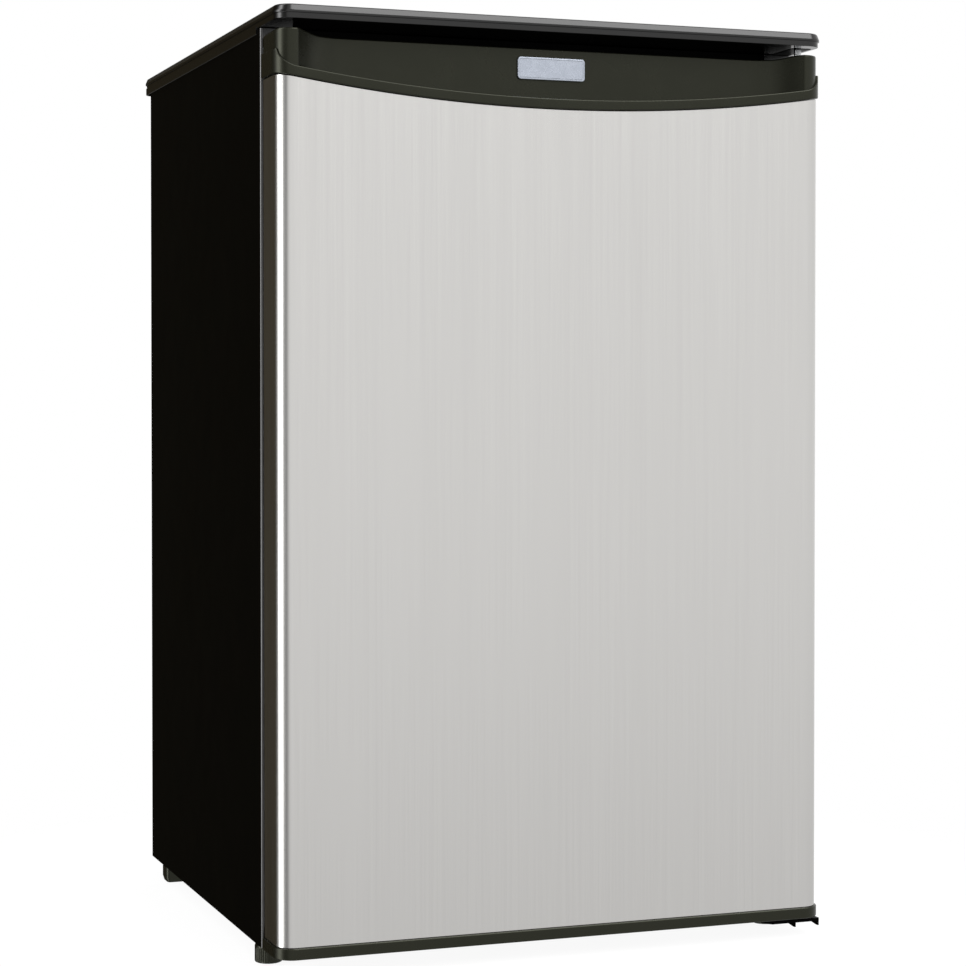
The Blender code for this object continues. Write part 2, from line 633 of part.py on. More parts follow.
def rear_foot(name, side):
    """Fixed block with chamfered outer edges."""
    low_x, high_x = REAR_FOOT_X
    low_y, high_y = REAR_FOOT_Y
    cut = 0.005
    outline = [(low_x, low_y), (high_x, low_y), (high_x, high_y - cut), (high_x - cut, high_y),
               (low_x, high_y)]
    outline = [(side * x, y) for x, y in outline]
    top = CAB_BOTTOM - GAP
    shrink = 0.8
    centre = (side * (low_x + high_x) / 2, (low_y + high_y) / 2)
    sole = [(centre[0] + shrink * (x - centre[0]), centre[1] + shrink * (y - centre[1])) for x, y in outline]
    rings = [[(x, y, 0.0) for x, y in sole], [(x, y, 0.005) for x, y in outline],
             [(x, y, top) for x, y in outline]]
    loft(name, rings, SATIN_BLACK)


# ---------------------------------------------------------------- door hinges
def upper_plate_outline(grow):
    tip = HINGE_Y - 0.0085 - grow
    arm = 0.0095 + grow
    back = CAB_FRONT + 0.055 + grow
    return [(HINGE_X - arm, tip), (HINGE_X + arm, tip), (HINGE_X + arm, back), (HINGE_IN - grow, back),
            (HINGE_IN - grow, CAB_FRONT + 0.012 - grow), (HINGE_X - arm, CAB_FRONT + 0.002 - grow)]


def upper_hinge():
    """Flat plate under the cover with a pin that points down into the door."""
    low = COVER_UNDER
    plate = prism_z("upper_hinge", upper_plate_outline(0.0), low, low + UPPER_PLATE, ZINC)
    tip = DOOR_TOP - low - PIN_DEPTH
    profile = [(0.0, 0.0), (UPPER_PIN_R, 0.0), (UPPER_PIN_R, tip + 0.001),
               (UPPER_PIN_R - 0.001, tip), (0.0, tip)]
    pin = turned("upper_pin", profile, (HINGE_X, HINGE_Y, low + UPPER_PLATE / 2), "Z", None, segments=16)
    combine(plate, pin, "UNION")
    holes = [(x, y, low - 0.01, low + 0.01, SCREW_R + GAP) for x, y in UPPER_SCREWS]
    combine(plate, cylinders("upper_hinge_holes", holes))


def lower_hinge():
    """Plate under the cabinet that reaches below the door, with two ears and a pin."""
    top = PLATE_UNDER + PLATE
    front = DOOR_FRONT + 0.005
    wide = CAB_HALF + 0.0015
    narrow = CAB_HALF - 0.003
    back = CAB_FRONT + 0.057
    cut = 0.006
    outline = [(HINGE_IN, front + cut), (HINGE_IN + cut, front), (wide, front), (wide, CAB_FRONT - 0.007),
               (narrow, CAB_FRONT - 0.001), (narrow, back), (HINGE_IN, back)]
    plate = prism_z("lower_hinge", outline, PLATE_UNDER, top, BLACK_PAINT)
    drop = PLATE_UNDER - 0.0040
    ear_back = front + 0.034
    for index, side in enumerate((HINGE_X - 0.011, CAB_HALF)):
        ear = [(front, top - 0.001), (front, drop), (front + 0.004, drop),
               (ear_back, PLATE_UNDER - 0.0005), (ear_back, top - 0.001)]
        rings = [[(x, y, z) for y, z in ear] for x in (side, side + EAR)]
        combine(plate, loft(f"lower_hinge_ear_{index + 1}", rings), "UNION")
    tip = DOOR_BOTTOM + PIN_DEPTH - PLATE_UNDER - PLATE / 2
    profile = [(0.0, 0.0), (LOWER_PIN_R, 0.0), (LOWER_PIN_R, tip - 0.001),
               (LOWER_PIN_R - 0.001, tip), (0.0, tip)]
    pin = turned("lower_pin", profile, (HINGE_X, HINGE_Y, PLATE_UNDER + PLATE / 2), "Z", None, segments=16)
    combine(plate, pin, "UNION")
    holes = [(x, y, PLATE_UNDER - 0.01, top + 0.01, SCREW_R + GAP) for x, y in LOWER_SCREWS]
    holes.append((*RIGHT_FOOT, PLATE_UNDER - 0.01, top + 0.01, STEM_R + GAP))
    combine(plate, cylinders("lower_hinge_holes", holes))


def screw(name, place, head_face, tip):
    """Pan-head screw; the head is outside head_face and the shank runs to tip."""
    up = 1 if tip > head_face else -1
    profile = [(0.0, -up * SCREW_HEAD), (SCREW_HEAD_R - 0.001, -up * SCREW_HEAD),
               (SCREW_HEAD_R, -up * SCREW_HEAD / 2), (SCREW_HEAD_R, 0.0), (SCREW_R, 0.0),
               (SCREW_R, tip - head_face), (0.0, tip - head_face)]
    turned(name, profile, (*place, head_face), "Z", ZINC, segments=12)


def hinge_screws():
    for index, place in enumerate(LOWER_SCREWS):
        screw(f"lower_hinge_screw_{index + 1}", place, PLATE_UNDER - GAP, LOWER_SCREW_TIP)
    head = COVER_UNDER + UPPER_PLATE + GAP
    for index, place in enumerate(UPPER_SCREWS):
        screw(f"upper_hinge_screw_{index + 1}", place, head, UPPER_SCREW_TIP)


# ---------------------------------------------------------------- door
def door_rings(outset, low, high, back):
    """Cross-sections across the door's width, between two heights that may follow x."""
    rings = []
    for x in door_stations(outset):
        front = min(door_front(x, outset), back - 0.0005)
        rings.append([(x, front, low(x)), (x, back, low(x)), (x, back, high(x)), (x, front, high(x))])
    return rings


def door_skin():
    """Steel sheet over the front and both sides, with a return flange behind."""
    bm = bmesh.new()
    outer = [(x, door_front(x)) for x in door_stations()]
    inner_corner = DOOR_CORNER - SHEET
    inner = []
    for x, y in outer:
        shift = abs(x) - (CAB_HALF - DOOR_CORNER)
        if shift <= 0:
            inner.append((x, y + SHEET))
        else:
            centre_x = math.copysign(CAB_HALF - DOOR_CORNER, x)
            centre_y = DOOR_FRONT + DOOR_CORNER
            scale = inner_corner / DOOR_CORNER
            inner.append((centre_x + (x - centre_x) * scale, centre_y + (y - centre_y) * scale))
    end = CAB_HALF - SKIN_FLANGE
    outer = [(-end, DOOR_BACK), (-CAB_HALF, DOOR_BACK)] + outer
    outer += [(CAB_HALF, DOOR_BACK), (end, DOOR_BACK)]
    flange = DOOR_BACK - SHEET
    inner = [(-end, flange), (-CAB_HALF + SHEET, flange)] + inner
    inner += [(CAB_HALF - SHEET, flange), (end, flange)]
    rings = []
    for (outer_x, outer_y), (inner_x, inner_y) in zip(outer, inner):
        top = arc_edge(outer_x) - GAP
        rings.append([(outer_x, outer_y, SKIN_BOTTOM), (inner_x, inner_y, SKIN_BOTTOM),
                      (inner_x, inner_y, top), (outer_x, outer_y, top)])
    add_loft(bm, rings)
    finish("door_skin", bm, STEEL, smooth=30)


def door_top_cap():
    """Moulded cap: a proud rim along the curved edge, the handle recess, and two end blocks."""
    rings = []
    stations = door_stations(PROUD)
    extra = [RECESS_HALF + (RECESS_END - RECESS_HALF) * step / 5 for step in range(6)]
    stations = sorted(set(stations + extra + [-x for x in extra] + [-CAB_HALF, CAB_HALF]))
    for x in stations:
        rim = min(door_front(x, PROUD), DOOR_BACK - 0.001)
        block = door_front(min(abs(x), CAB_HALF)) + 0.0002
        depth = 1 - ease(RECESS_HALF, RECESS_END, abs(x))
        wall = block + depth * (RECESS_WALL - DOOR_FRONT)
        wall = min(max(wall, rim + 0.0005), DOOR_BACK - 0.0005)
        step = ledge(x)
        top = WALL_TOP + (DOOR_TOP - WALL_TOP) * ease(RECESS_HALF, RECESS_END, abs(x))
        if abs(x) > CAB_HALF + 0.0001:
            top = step + 0.0001
        base = arc_edge(x) + GAP
        rings.append([(x, rim, base), (x, DOOR_BACK, base), (x, DOOR_BACK, top), (x, wall, top),
                      (x, wall, step), (x, rim, step)])
    cap = loft("door_top_cap", rings, SATIN_BLACK, smooth=30)
    combine(cap, boxes("cap_foam_space", [cap_core(0.0)]))
    hole = (HINGE_X, HINGE_Y, DOOR_TOP - PIN_DEPTH - 0.002, DOOR_TOP + 0.01, upper_bush_r() + GAP)
    combine(cap, cylinders("cap_bush_hole", [hole]))


def cap_core(shrink):
    """Foam that fills the cap from below, as a box."""
    half = RECESS_HALF - 0.012 - shrink
    wall = CAP_WALL + shrink
    return ((-half, RECESS_WALL + wall, ARC_LOW - 0.01), (half, DOOR_BACK - wall, WALL_TOP - wall))


def upper_bush_r():
    return UPPER_PIN_R + BUSH_CLEARANCE + BUSH_WALL


def lower_bush_r():
    return LOWER_PIN_R + BUSH_CLEARANCE + BUSH_WALL


def door_bottom_cap():
    high = DOOR_BOTTOM + BOTTOM_CAP
    rings = door_rings(PROUD, lambda x: DOOR_BOTTOM, lambda x: high, DOOR_BACK)
    cap = loft("door_bottom_cap", rings, SATIN_BLACK, smooth=30)
    hole = (HINGE_X, HINGE_Y, DOOR_BOTTOM - 0.01, high + 0.01, lower_bush_r() + GAP)
    combine(cap, cylinders("bottom_cap_hole", [hole]))


def bushings():
    """Plastic sleeves with a thrust flange, one in each end cap of the door."""
    for name, outer, face, up in (("upper_bushing", upper_bush_r(), DOOR_TOP, 1),
                                  ("lower_bushing", lower_bush_r(), DOOR_BOTTOM, -1)):
        inner = outer - BUSH_WALL
        flange = outer + BUSH_FLANGE
        profile = [(inner, -up * PIN_DEPTH), (outer, -up * PIN_DEPTH), (outer, up * GAP), (flange, up * GAP),
                   (flange, up * BUSH_RIM), (inner, up * BUSH_RIM)]
        turned(name, profile, (HINGE_X, HINGE_Y, face), "Z", WHITE, segments=16)


def dyke_boxes(shrink, front):
    """The raised frame on the door's liner, as four boxes, pulled in by `shrink`."""
    outer = DYKE_HALF - shrink
    inner = DYKE_HALF - DYKE_WIDTH + shrink
    low = DYKE_LOW + shrink
    high = DYKE_HIGH - shrink
    back = DYKE_BACK - shrink
    bottom = ((-outer, front, low), (outer, back, DYKE_LOW + DYKE_WIDTH - shrink))
    top = ((-outer, front, DYKE_HIGH - DYKE_WIDTH + shrink), (outer, back, high))
    posts = [((min(side * inner, side * outer), front, low),
              (max(side * inner, side * outer), back, high)) for side in (-1, 1)]
    return [bottom, top], posts


def door_foam():
    inset = SHEET + GAP
    rings = []
    half = CAB_HALF - inset
    for x in door_stations():
        place = x * half / CAB_HALF
        front = door_front(x) + inset
        top = arc_edge(place) - GAP
        back = DOOR_BACK - SHEET - GAP
        rings.append([(place, front, SKIN_BOTTOM), (place, back, SKIN_BOTTOM), (place, back, top),
                      (place, front, top)])
    foam = loft("door_foam", rings, FOAM)
    low, high = cap_core(GAP)
    combine(foam, boxes("foam_cap_core", [(low, high)]), "UNION")
    front = DOOR_BACK - SHEET - 0.002
    shrink = LINER + GAP
    edge = CAB_HALF - SKIN_FLANGE - 0.002
    plate = boxes("foam_back_pad", [((-edge, front, SKIN_BOTTOM), (edge, DOOR_BACK, ARC_LOW - GAP))])
    combine(foam, plate, "UNION")
    bars, posts = dyke_boxes(shrink, front)
    combine(foam, boxes("foam_dyke_bars", bars), "UNION")
    combine(foam, boxes("foam_dyke_posts", posts), "UNION")
    hole = (HINGE_X, HINGE_Y, SKIN_BOTTOM - 0.01, DOOR_BOTTOM + PIN_DEPTH + 0.001, lower_bush_r() + GAP)
    combine(foam, cylinders("foam_bush_hole", [hole]))


def door_liner():
    """Moulded inner panel with a hollow raised frame and lugs for the bins."""
    face = DOOR_BACK + GAP
    plate = boxes("door_liner", [((-DOOR_LINER_HALF, face, DOOR_LINER_LOW),
                                  (DOOR_LINER_HALF, DOOR_LINER_BACK, DOOR_LINER_HIGH))], WHITE)
    bars, posts = dyke_boxes(0.0, face + LINER / 2)
    combine(plate, boxes("dyke_bars", bars), "UNION")
    combine(plate, boxes("dyke_posts", posts), "UNION")
    bars, posts = dyke_boxes(LINER, face - 0.002)
    combine(plate, boxes("dyke_bar_spaces", bars))
    combine(plate, boxes("dyke_post_spaces", posts))
    lugs = []
    edge = DYKE_HALF - DYKE_WIDTH
    for floor, _, _ in BINS.values():
        for side in (-1, 1):
            ends = sorted((side * (edge - LUG_REACH), side * (edge + LINER / 2)))
            lugs.append(((ends[0], DOOR_LINER_BACK + 0.008, floor - LUG_HEIGHT),
                         (ends[1], DYKE_BACK - 0.015, floor - GAP)))
    combine(plate, boxes("bin_lugs", lugs), "UNION")


def door_gasket():
    """Square ring seal with round outer corners."""
    low_y = DOOR_LINER_BACK + GAP
    high_y = CAB_FRONT - GAP
    middle = (GASKET_LOW + GASKET_HIGH) / 2

    def ring(half, tall, radius, y):
        points = []
        for sign_x, sign_z, start in ((1, -1, -90), (1, 1, 0), (-1, 1, 90), (-1, -1, 180)):
            for step in range(4):
                turn = math.radians(start + 30 * step)
                points.append((sign_x * (half - radius) + radius * math.cos(turn), y,
                               middle + sign_z * (tall - radius) + radius * math.sin(turn)))
        return points

    tall = (GASKET_HIGH - GASKET_LOW) / 2
    gasket = loft("door_gasket", [ring(GASKET_HALF, tall, 0.010, y) for y in (low_y, high_y)], RUBBER)
    inside = [ring(GASKET_HALF - GASKET_WIDTH, tall - GASKET_WIDTH, 0.004, y)
              for y in (low_y - 0.01, high_y + 0.01)]
    combine(gasket, loft("gasket_space", inside))


def door_bin(name, floor, height, inner_face):
    """Open-topped tray that rests on the door liner's lugs."""
    back = DOOR_LINER_BACK + GAP
    tray = boxes(name, [((-BIN_HALF, back, floor), (BIN_HALF, inner_face, floor + height))], CLEAR)
    space = boxes(name + "_space", [
        ((-BIN_HALF + BIN_WALL, back + BIN_WALL, floor + BIN_WALL),
         (BIN_HALF - BIN_WALL, inner_face - BIN_WALL, floor + height + 0.01))])
    combine(tray, space)


def badge():
    """Blank plate on the recess wall."""
    face = RECESS_WALL - GAP
    boxes("badge", [((-BADGE_HALF, face - BADGE, BADGE_LOW), (BADGE_HALF, face, BADGE_HIGH))],
          BADGE_SILVER)


# ---------------------------------------------------------------- food space
def shelf(level, name):
    """Toughened glass on the liner's rails, with a moulded strip over its front edge."""
    low = level + GAP
    boxes(f"glass_shelf_{name}", [
        ((-SHELF_HALF, SHELF_FRONT, low), (SHELF_HALF, SHELF_BACK, low + GLASS))], CLEAR)
    shelf_strip(f"shelf_strip_{name}", low, SHELF_FRONT, RAIL_IN - 0.001)


def shelf_strip(name, low, front, half):
    """C-shaped strip around the front edge of a glass."""
    wall = STRIP_WALL
    edge = front + STRIP_REACH
    inner_low = low - GAP
    inner_high = low + GLASS + GAP
    outline = [(front - GAP - wall, inner_low - wall), (edge, inner_low - wall), (edge, inner_low),
               (front - GAP, inner_low), (front - GAP, inner_high), (edge, inner_high),
               (edge, inner_high + wall), (front - GAP - wall, inner_high + wall)]
    prism_x(name, outline, half, WHITE)


def crisper_cover():
    """Glass over the drawer; it rests on the step and on the lowest rails."""
    low = CRISPER_COVER_Z
    boxes("crisper_cover", [
        ((-SHELF_HALF, SHELF_FRONT, low), (SHELF_HALF, CRISPER_COVER_BACK, low + GLASS))], CLEAR)
    shelf_strip("crisper_cover_strip", low, SHELF_FRONT, RAIL_IN - 0.001)


def crisper_drawer():
    """Open-topped drawer with a lip to pull; it slides forward on the liner's floor."""
    low = CAVITY_FLOOR + GAP
    high = low + CRISPER_HEIGHT
    wall = CRISPER_WALL

    def ring(inset, z):
        back = CRISPER_BACK - inset
        front = CRISPER_FRONT + inset
        half = CRISPER_HALF - inset
        return [(-half, front, z), (half, front, z), (half, back, z), (-half, back, z)]

    at = (0.0, CRISPER_FRONT, low)
    drawer = loft("crisper_drawer", [ring(CRISPER_DRAFT, low), ring(0.0, high)], CLEAR, at)
    space = [ring(CRISPER_DRAFT + wall, low + wall), ring(wall, high + 0.001)]
    combine(drawer, loft("crisper_space", space))
    handle = boxes("crisper_handle", [((-0.060, CRISPER_FRONT - 0.010, high - 0.012),
                                       (0.060, CRISPER_FRONT + wall / 2, high - 0.009))])
    combine(drawer, handle, "UNION")


def thermostat_housing():
    """Box on the right wall for the control and the lamp."""
    high_x = CAVITY_HALF - GAP
    housing = boxes("thermostat_housing", [((HOUSING_IN, HOUSING_FRONT, HOUSING_LOW),
                                            (high_x, HOUSING_BACK, HOUSING_HIGH))], WHITE)
    lamp_room = boxes("lamp_room", [((HOUSING_IN - 0.01, LAMP_FRONT, HOUSING_LOW + 0.012),
                                     (high_x - 0.008, LAMP_BACK, HOUSING_HIGH - 0.012))])
    combine(housing, lamp_room)
    bore = PLUNGER_DEPTH + 0.002
    bores = bmesh.new()
    add_turned(bores, [(0.0, -0.01), (PLUNGER_R + GAP, -0.01), (PLUNGER_R + GAP, bore), (0.0, bore)],
               (PLUNGER_X, HOUSING_FRONT, PLUNGER_Z), "Y", 14)
    bmesh.ops.remove_doubles(bores, verts=bores.verts, dist=1e-6)
    combine(housing, finish("plunger_bore", bores, None))
    shaft = bmesh.new()
    radius = KNOB_SHAFT_R + GAP
    deep = KNOB_SHAFT + 0.0005
    add_turned(shaft, [(0.0, -0.01), (radius, -0.01), (radius, deep), (0.0, deep)],
               (HOUSING_IN, KNOB_Y, KNOB_Z), "X", 14)
    bmesh.ops.remove_doubles(shaft, verts=shaft.verts, dist=1e-6)
    combine(housing, finish("shaft_bore", shaft, None))


def thermostat_knob():
    """Round knob with a pointer rib; it turns about its own axis."""
    face = -0.014
    profile = [(0.0, KNOB_SHAFT), (KNOB_SHAFT_R, KNOB_SHAFT), (KNOB_SHAFT_R, -GAP), (KNOB_R, -GAP),
               (KNOB_R, -0.004), (KNOB_R - 0.003, face), (0.0, face)]
    at = (HOUSING_IN, KNOB_Y, KNOB_Z)
    knob = turned("thermostat_knob", profile, at, "X", WHITE, segments=24)
    rib = boxes("knob_rib", [((HOUSING_IN + face - 0.003, KNOB_Y - 0.0015, KNOB_Z - 0.002),
                              (HOUSING_IN + face + 0.001, KNOB_Y + 0.0015, KNOB_Z + KNOB_R - 0.005))])
    combine(knob, rib, "UNION")


def lamp():
    """Small bulb lying along Y with its screw cap at the back."""
    start = LAMP_FRONT + 0.004
    length = LAMP_BACK - LAMP_FRONT - 0.008
    profile = [(0.0, 0.0), (0.6 * LAMP_R, 0.0015), (LAMP_R, 0.009), (LAMP_R, 0.020),
               (0.55 * LAMP_R, 0.034), (0.6 * LAMP_R, 0.035), (0.6 * LAMP_R, length), (0.0, length)]
    turned("lamp", profile, (LAMP_X, start, KNOB_Z), "Y", BULB, segments=16)


def lamp_cover():
    """Clear lid over the lamp, open towards the housing."""
    wall = 0.0015
    low = (LAMP_COVER_IN, LAMP_FRONT - 0.003, HOUSING_LOW + 0.008)
    high = (HOUSING_IN - GAP, LAMP_BACK + 0.003, HOUSING_HIGH - 0.008)
    cover = boxes("lamp_cover", [(low, high)], CLEAR)
    space = [(low[0] + wall, low[1] + wall, low[2] + wall), (high[0] + 0.01, high[1] - wall, high[2] - wall)]
    combine(cover, boxes("lamp_cover_space", [space]))


def switch_plunger():
    """Lamp switch: the door's raised frame holds it in."""
    reach = DYKE_BACK + GAP - HOUSING_FRONT
    profile = [(0.0, reach), (PLUNGER_R - 0.001, reach), (PLUNGER_R, reach + 0.001),
               (PLUNGER_R, PLUNGER_DEPTH), (0.0, PLUNGER_DEPTH)]
    turned("switch_plunger", profile, (PLUNGER_X, HOUSING_FRONT, PLUNGER_Z), "Y", WHITE, segments=14)


# ---------------------------------------------------------------- cooling
def evaporator():
    """Plate behind the liner's back wall."""
    face = CAVITY_BACK + LINER + GAP
    boxes("evaporator_plate", [((-EVAPORATOR_HALF, face, EVAPORATOR_LOW),
                                (EVAPORATOR_HALF, face + EVAPORATOR, EVAPORATOR_HIGH))], ALUMINIUM)


def compressor():
    """Sealed pot with a welded seam and a mounting plate."""
    shell = COMPRESSOR_R
    profile = [(0.0, 0.0), (shell - 0.020, 0.0), (shell - 0.007, 0.008), (shell - 0.001, 0.022),
               (shell, 0.054), (shell + SEAM, 0.0545), (shell + SEAM, 0.0585), (shell, 0.059),
               (shell - 0.002, 0.088), (shell - 0.010, POT_HEIGHT - 0.018),
               (shell - 0.027, POT_HEIGHT - 0.005), (0.0, POT_HEIGHT)]
    place = (COMPRESSOR_X, COMPRESSOR_Y, POT_BASE)
    pot = turned("compressor", profile, place, "Z", SATIN_BLACK, segments=28, smooth=50)
    leg_x = LEG_X + LEG_EDGE
    leg_y = LEG_Y + LEG_EDGE
    legs = boxes("compressor_legs", [((COMPRESSOR_X - leg_x, COMPRESSOR_Y - leg_y, LEG_PLATE_Z),
                                      (COMPRESSOR_X + leg_x, COMPRESSOR_Y + leg_y, LEG_PLATE_Z + LEG_PLATE))])
    combine(pot, legs, "UNION")
    holes = [(x, y, LEG_PLATE_Z - 0.01, LEG_PLATE_Z + 0.01, 0.0068) for x, y in leg_places()]
    combine(pot, cylinders("compressor_leg_holes", holes))


def leg_places():
    return [(COMPRESSOR_X + side_x * LEG_X, COMPRESSOR_Y + side_y * LEG_Y)
            for side_x in (-1, 1) for side_y in (-1, 1)]


def compressor_mount():
    """Plate across the machine bay with a rear lip and four studs."""
    low = MOUNT_PLATE_Z
    high = low + MOUNT_PLATE
    back = CAB_BACK - 0.0015
    outline = [(BAY_FRONT + 0.003, low), (back, low), (back, low + 0.028), (back - 0.0015, low + 0.028),
               (back - 0.0015, high), (BAY_FRONT + 0.003, high)]
    plate = prism_x("compressor_mount", outline, FOAM_HALF, BLACK_PAINT)
    studs = [(x, y, high - 0.001, LEG_PLATE_Z + LEG_PLATE + 0.010, STUD_R) for x, y in leg_places()]
    combine(plate, cylinders("mount_studs", studs, segments=10), "UNION")
    hole = bmesh.new()
    add_turned(hole, [(0.0, -0.01), (GLAND_R + GAP, -0.01), (GLAND_R + GAP, 0.01), (0.0, 0.01)],
               gland_place(), "Y", 14)
    bmesh.ops.remove_doubles(hole, verts=hole.verts, dist=1e-6)
    combine(plate, finish("gland_hole", hole, None))


def gland_place():
    return (GLAND_X, CAB_BACK - 0.00225, MOUNT_PLATE_Z + 0.017)


def cable_gland():
    """Rubber ring in the mount's rear lip, where the supply lead would enter."""
    flange = GLAND_R + 0.003
    wide = 0.00075 + GAP
    bore = GLAND_R - 0.003
    profile = [(bore, -0.0055), (flange, -0.0055), (flange, -wide), (GLAND_R, -wide), (GLAND_R, wide),
               (flange, wide), (flange, 0.0045), (bore, 0.0045)]
    turned("cable_gland", profile, gland_place(), "Y", RUBBER, segments=16)


def grommets():
    """Rubber mounts between the compressor's plate and the mount."""
    low = MOUNT_PLATE_Z + MOUNT_PLATE + GAP
    waist_low = LEG_PLATE_Z - GAP - low
    waist_high = LEG_PLATE_Z + LEG_PLATE + GAP - low
    bore = STUD_R + GAP
    waist = 0.0064
    profile = [(bore, 0.0), (0.0100, 0.0), (0.0100, waist_low), (waist, waist_low),
               (waist, waist_high), (0.0090, waist_high), (0.0080, waist_high + 0.004),
               (bore, waist_high + 0.004)]
    for index, place in enumerate(leg_places()):
        turned(f"grommet_{index + 1}", profile, (*place, low), "Z", RUBBER, segments=12)


def terminal_cover():
    """Moulded cover over the compressor's terminals."""
    right = COMPRESSOR_X - COMPRESSOR_R - SEAM - GAP
    half = 0.026
    low = POT_BASE + 0.028
    boxes("terminal_cover", [((right - half, COMPRESSOR_Y - half, low),
                              (right, COMPRESSOR_Y + half, low + 0.054))], SATIN_BLACK)


def drip_tray():
    """Open pan over the compressor that catches the defrost water."""
    low = POT_TOP + GAP

    def block(half, bottom, top):
        return ((COMPRESSOR_X - half, COMPRESSOR_Y - half, bottom),
                (COMPRESSOR_X + half, COMPRESSOR_Y + half, top))

    tray = boxes("drip_tray", [block(TRAY_HALF, low, low + TRAY_DEPTH)], SATIN_BLACK)
    inside = block(TRAY_HALF - TRAY_WALL, low + TRAY_WALL, low + TRAY_DEPTH + 0.01)
    combine(tray, boxes("drip_tray_space", [inside]))


def drain_tube():
    """Tube from the liner's step down to the drip tray."""
    bore = DRAIN_R - 0.0012
    end = POT_TOP + 0.008 - HUMP_TOP
    profile = [(bore, LINER), (bore, end), (DRAIN_R, end), (DRAIN_R, GAP), (DRAIN_R + 0.004, GAP),
               (DRAIN_R + 0.004, LINER)]
    turned("drain_tube", profile, (COMPRESSOR_X, DRAIN_Y, HUMP_TOP), "Z", WHITE, segments=14)


def refrigerant_tubes():
    """Discharge line to the condenser and suction line from the evaporator."""
    out_x = COMPRESSOR_X + COMPRESSOR_R + 0.0005
    discharge = [(out_x, COMPRESSOR_Y, DISCHARGE_Z), (RISER_X, COMPRESSOR_Y, DISCHARGE_Z),
                 (RISER_X, CONDENSER_Y, DISCHARGE_Z), (RISER_X, CONDENSER_Y, CONDENSER_HIGH),
                 (CONDENSER_HALF + GAP, CONDENSER_Y, CONDENSER_HIGH)]
    tube("discharge_tube", rounded_path(discharge, 0.012), CONDENSER_TUBE_R, COPPER)
    end = CAVITY_BACK + LINER + EVAPORATOR + 3 * GAP
    out_x = COMPRESSOR_X + COMPRESSOR_R - 0.0013
    suction = [(out_x, COMPRESSOR_Y, SUCTION_Z), (SUCTION_X, COMPRESSOR_Y, SUCTION_Z),
               (SUCTION_X, SUCTION_Y, SUCTION_Z), (SUCTION_X, SUCTION_Y, SUCTION_TOP),
               (SUCTION_X, end, SUCTION_TOP)]
    path = rounded_path(suction[:4], 0.012)[:-1]
    path += rounded_path(suction[2:], 0.006)[1:]
    tube("suction_tube", path, TUBE_R, COPPER)


def condenser():
    """Serpentine tube on the back with upright wires welded across it."""
    corners = []
    side = 1
    for row in reversed(range(CONDENSER_ROWS)):
        height = CONDENSER_LOW + row * CONDENSER_PITCH
        corners += [(side * CONDENSER_HALF, CONDENSER_Y, height),
                    (-side * CONDENSER_HALF, CONDENSER_Y, height)]
        side = -side
    below = DRIER_LOW + DRIER_LENGTH + 0.014
    corners += [(-CONDENSER_HALF, CONDENSER_Y, below), (-CONDENSER_HALF, DRIER_Y, below),
                (-CONDENSER_HALF, DRIER_Y, DRIER_LOW + DRIER_LENGTH + GAP)]
    tube("condenser_tube", rounded_path(corners, 0.012, steps=3), CONDENSER_TUBE_R, BLACK_PAINT)
    low = CONDENSER_LOW - 0.012
    high = CONDENSER_HIGH + 0.012
    face = CONDENSER_Y + CONDENSER_TUBE_R + GAP
    half = CONDENSER_HALF - 0.014
    grid = boxes("condenser_wires", [((-half, face, low), (half, face + GRID_WIRE, high))], BLACK_PAINT)
    pitch = (2 * half - GRID_WIRE) / (GRID_WIRES - 1)
    slots = [((-half + GRID_WIRE + index * pitch, face - 0.01, low + GRID_WIRE),
              (-half + (index + 1) * pitch, face + 0.01, high - GRID_WIRE))
             for index in range(GRID_WIRES - 1)]
    combine(grid, boxes("condenser_slots", slots))
    tube_face = CONDENSER_Y - CONDENSER_TUBE_R - GAP
    for name, side in (("left", -1), ("right", 1)):
        ends = sorted((side * SPACER_X, side * (SPACER_X + 0.008)))
        boxes(f"condenser_spacer_{name}", [
            ((ends[0], CAB_BACK + GAP, low + 0.004), (ends[1], tube_face, high - 0.004))], BLACK_PAINT)


def filter_drier():
    """Copper capsule in line before the capillary."""
    shell = 0.008
    outlet = 0.0022
    inlet = 0.003
    profile = [(0.0, 0.0), (outlet, 0.0), (outlet, 0.010), (shell, 0.020), (shell, DRIER_LENGTH - 0.020),
               (inlet, DRIER_LENGTH - 0.010), (inlet, DRIER_LENGTH), (0.0, DRIER_LENGTH)]
    turned("filter_drier", profile, (-CONDENSER_HALF, DRIER_Y, DRIER_LOW), "Z", COPPER, segments=14)


# ---------------------------------------------------------------- assembly
def build():
    for old in list(bpy.data.objects):
        bpy.data.objects.remove(old, do_unlink=True)
    side_panel("side_panel_left", -1)
    side_panel("side_panel_right", 1)
    top_panel()
    back_panel()
    base_panel()
    insulation()
    inner_liner()
    top_cover()
    front_foot("front_foot_left", LEFT_FOOT, CAB_BOTTOM - GAP)
    front_foot("front_foot_right", RIGHT_FOOT, PLATE_UNDER - GAP)
    rear_foot("rear_foot_left", -1)
    rear_foot("rear_foot_right", 1)
    upper_hinge()
    lower_hinge()
    hinge_screws()
    door_skin()
    door_top_cap()
    door_bottom_cap()
    bushings()
    door_foam()
    door_liner()
    door_gasket()
    for name, sizes in BINS.items():
        door_bin(name, *sizes)
    badge()
    for name, level in SHELF_LEVELS.items():
        shelf(level, name)
    crisper_cover()
    crisper_drawer()
    thermostat_housing()
    thermostat_knob()
    lamp()
    lamp_cover()
    switch_plunger()
    evaporator()
    compressor()
    compressor_mount()
    cable_gland()
    grommets()
    terminal_cover()
    drip_tray()
    drain_tube()
    refrigerant_tubes()
    condenser()
    filter_drier()


build()
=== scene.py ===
"""Looks of the compact refrigerator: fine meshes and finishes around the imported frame."""
import json
import math

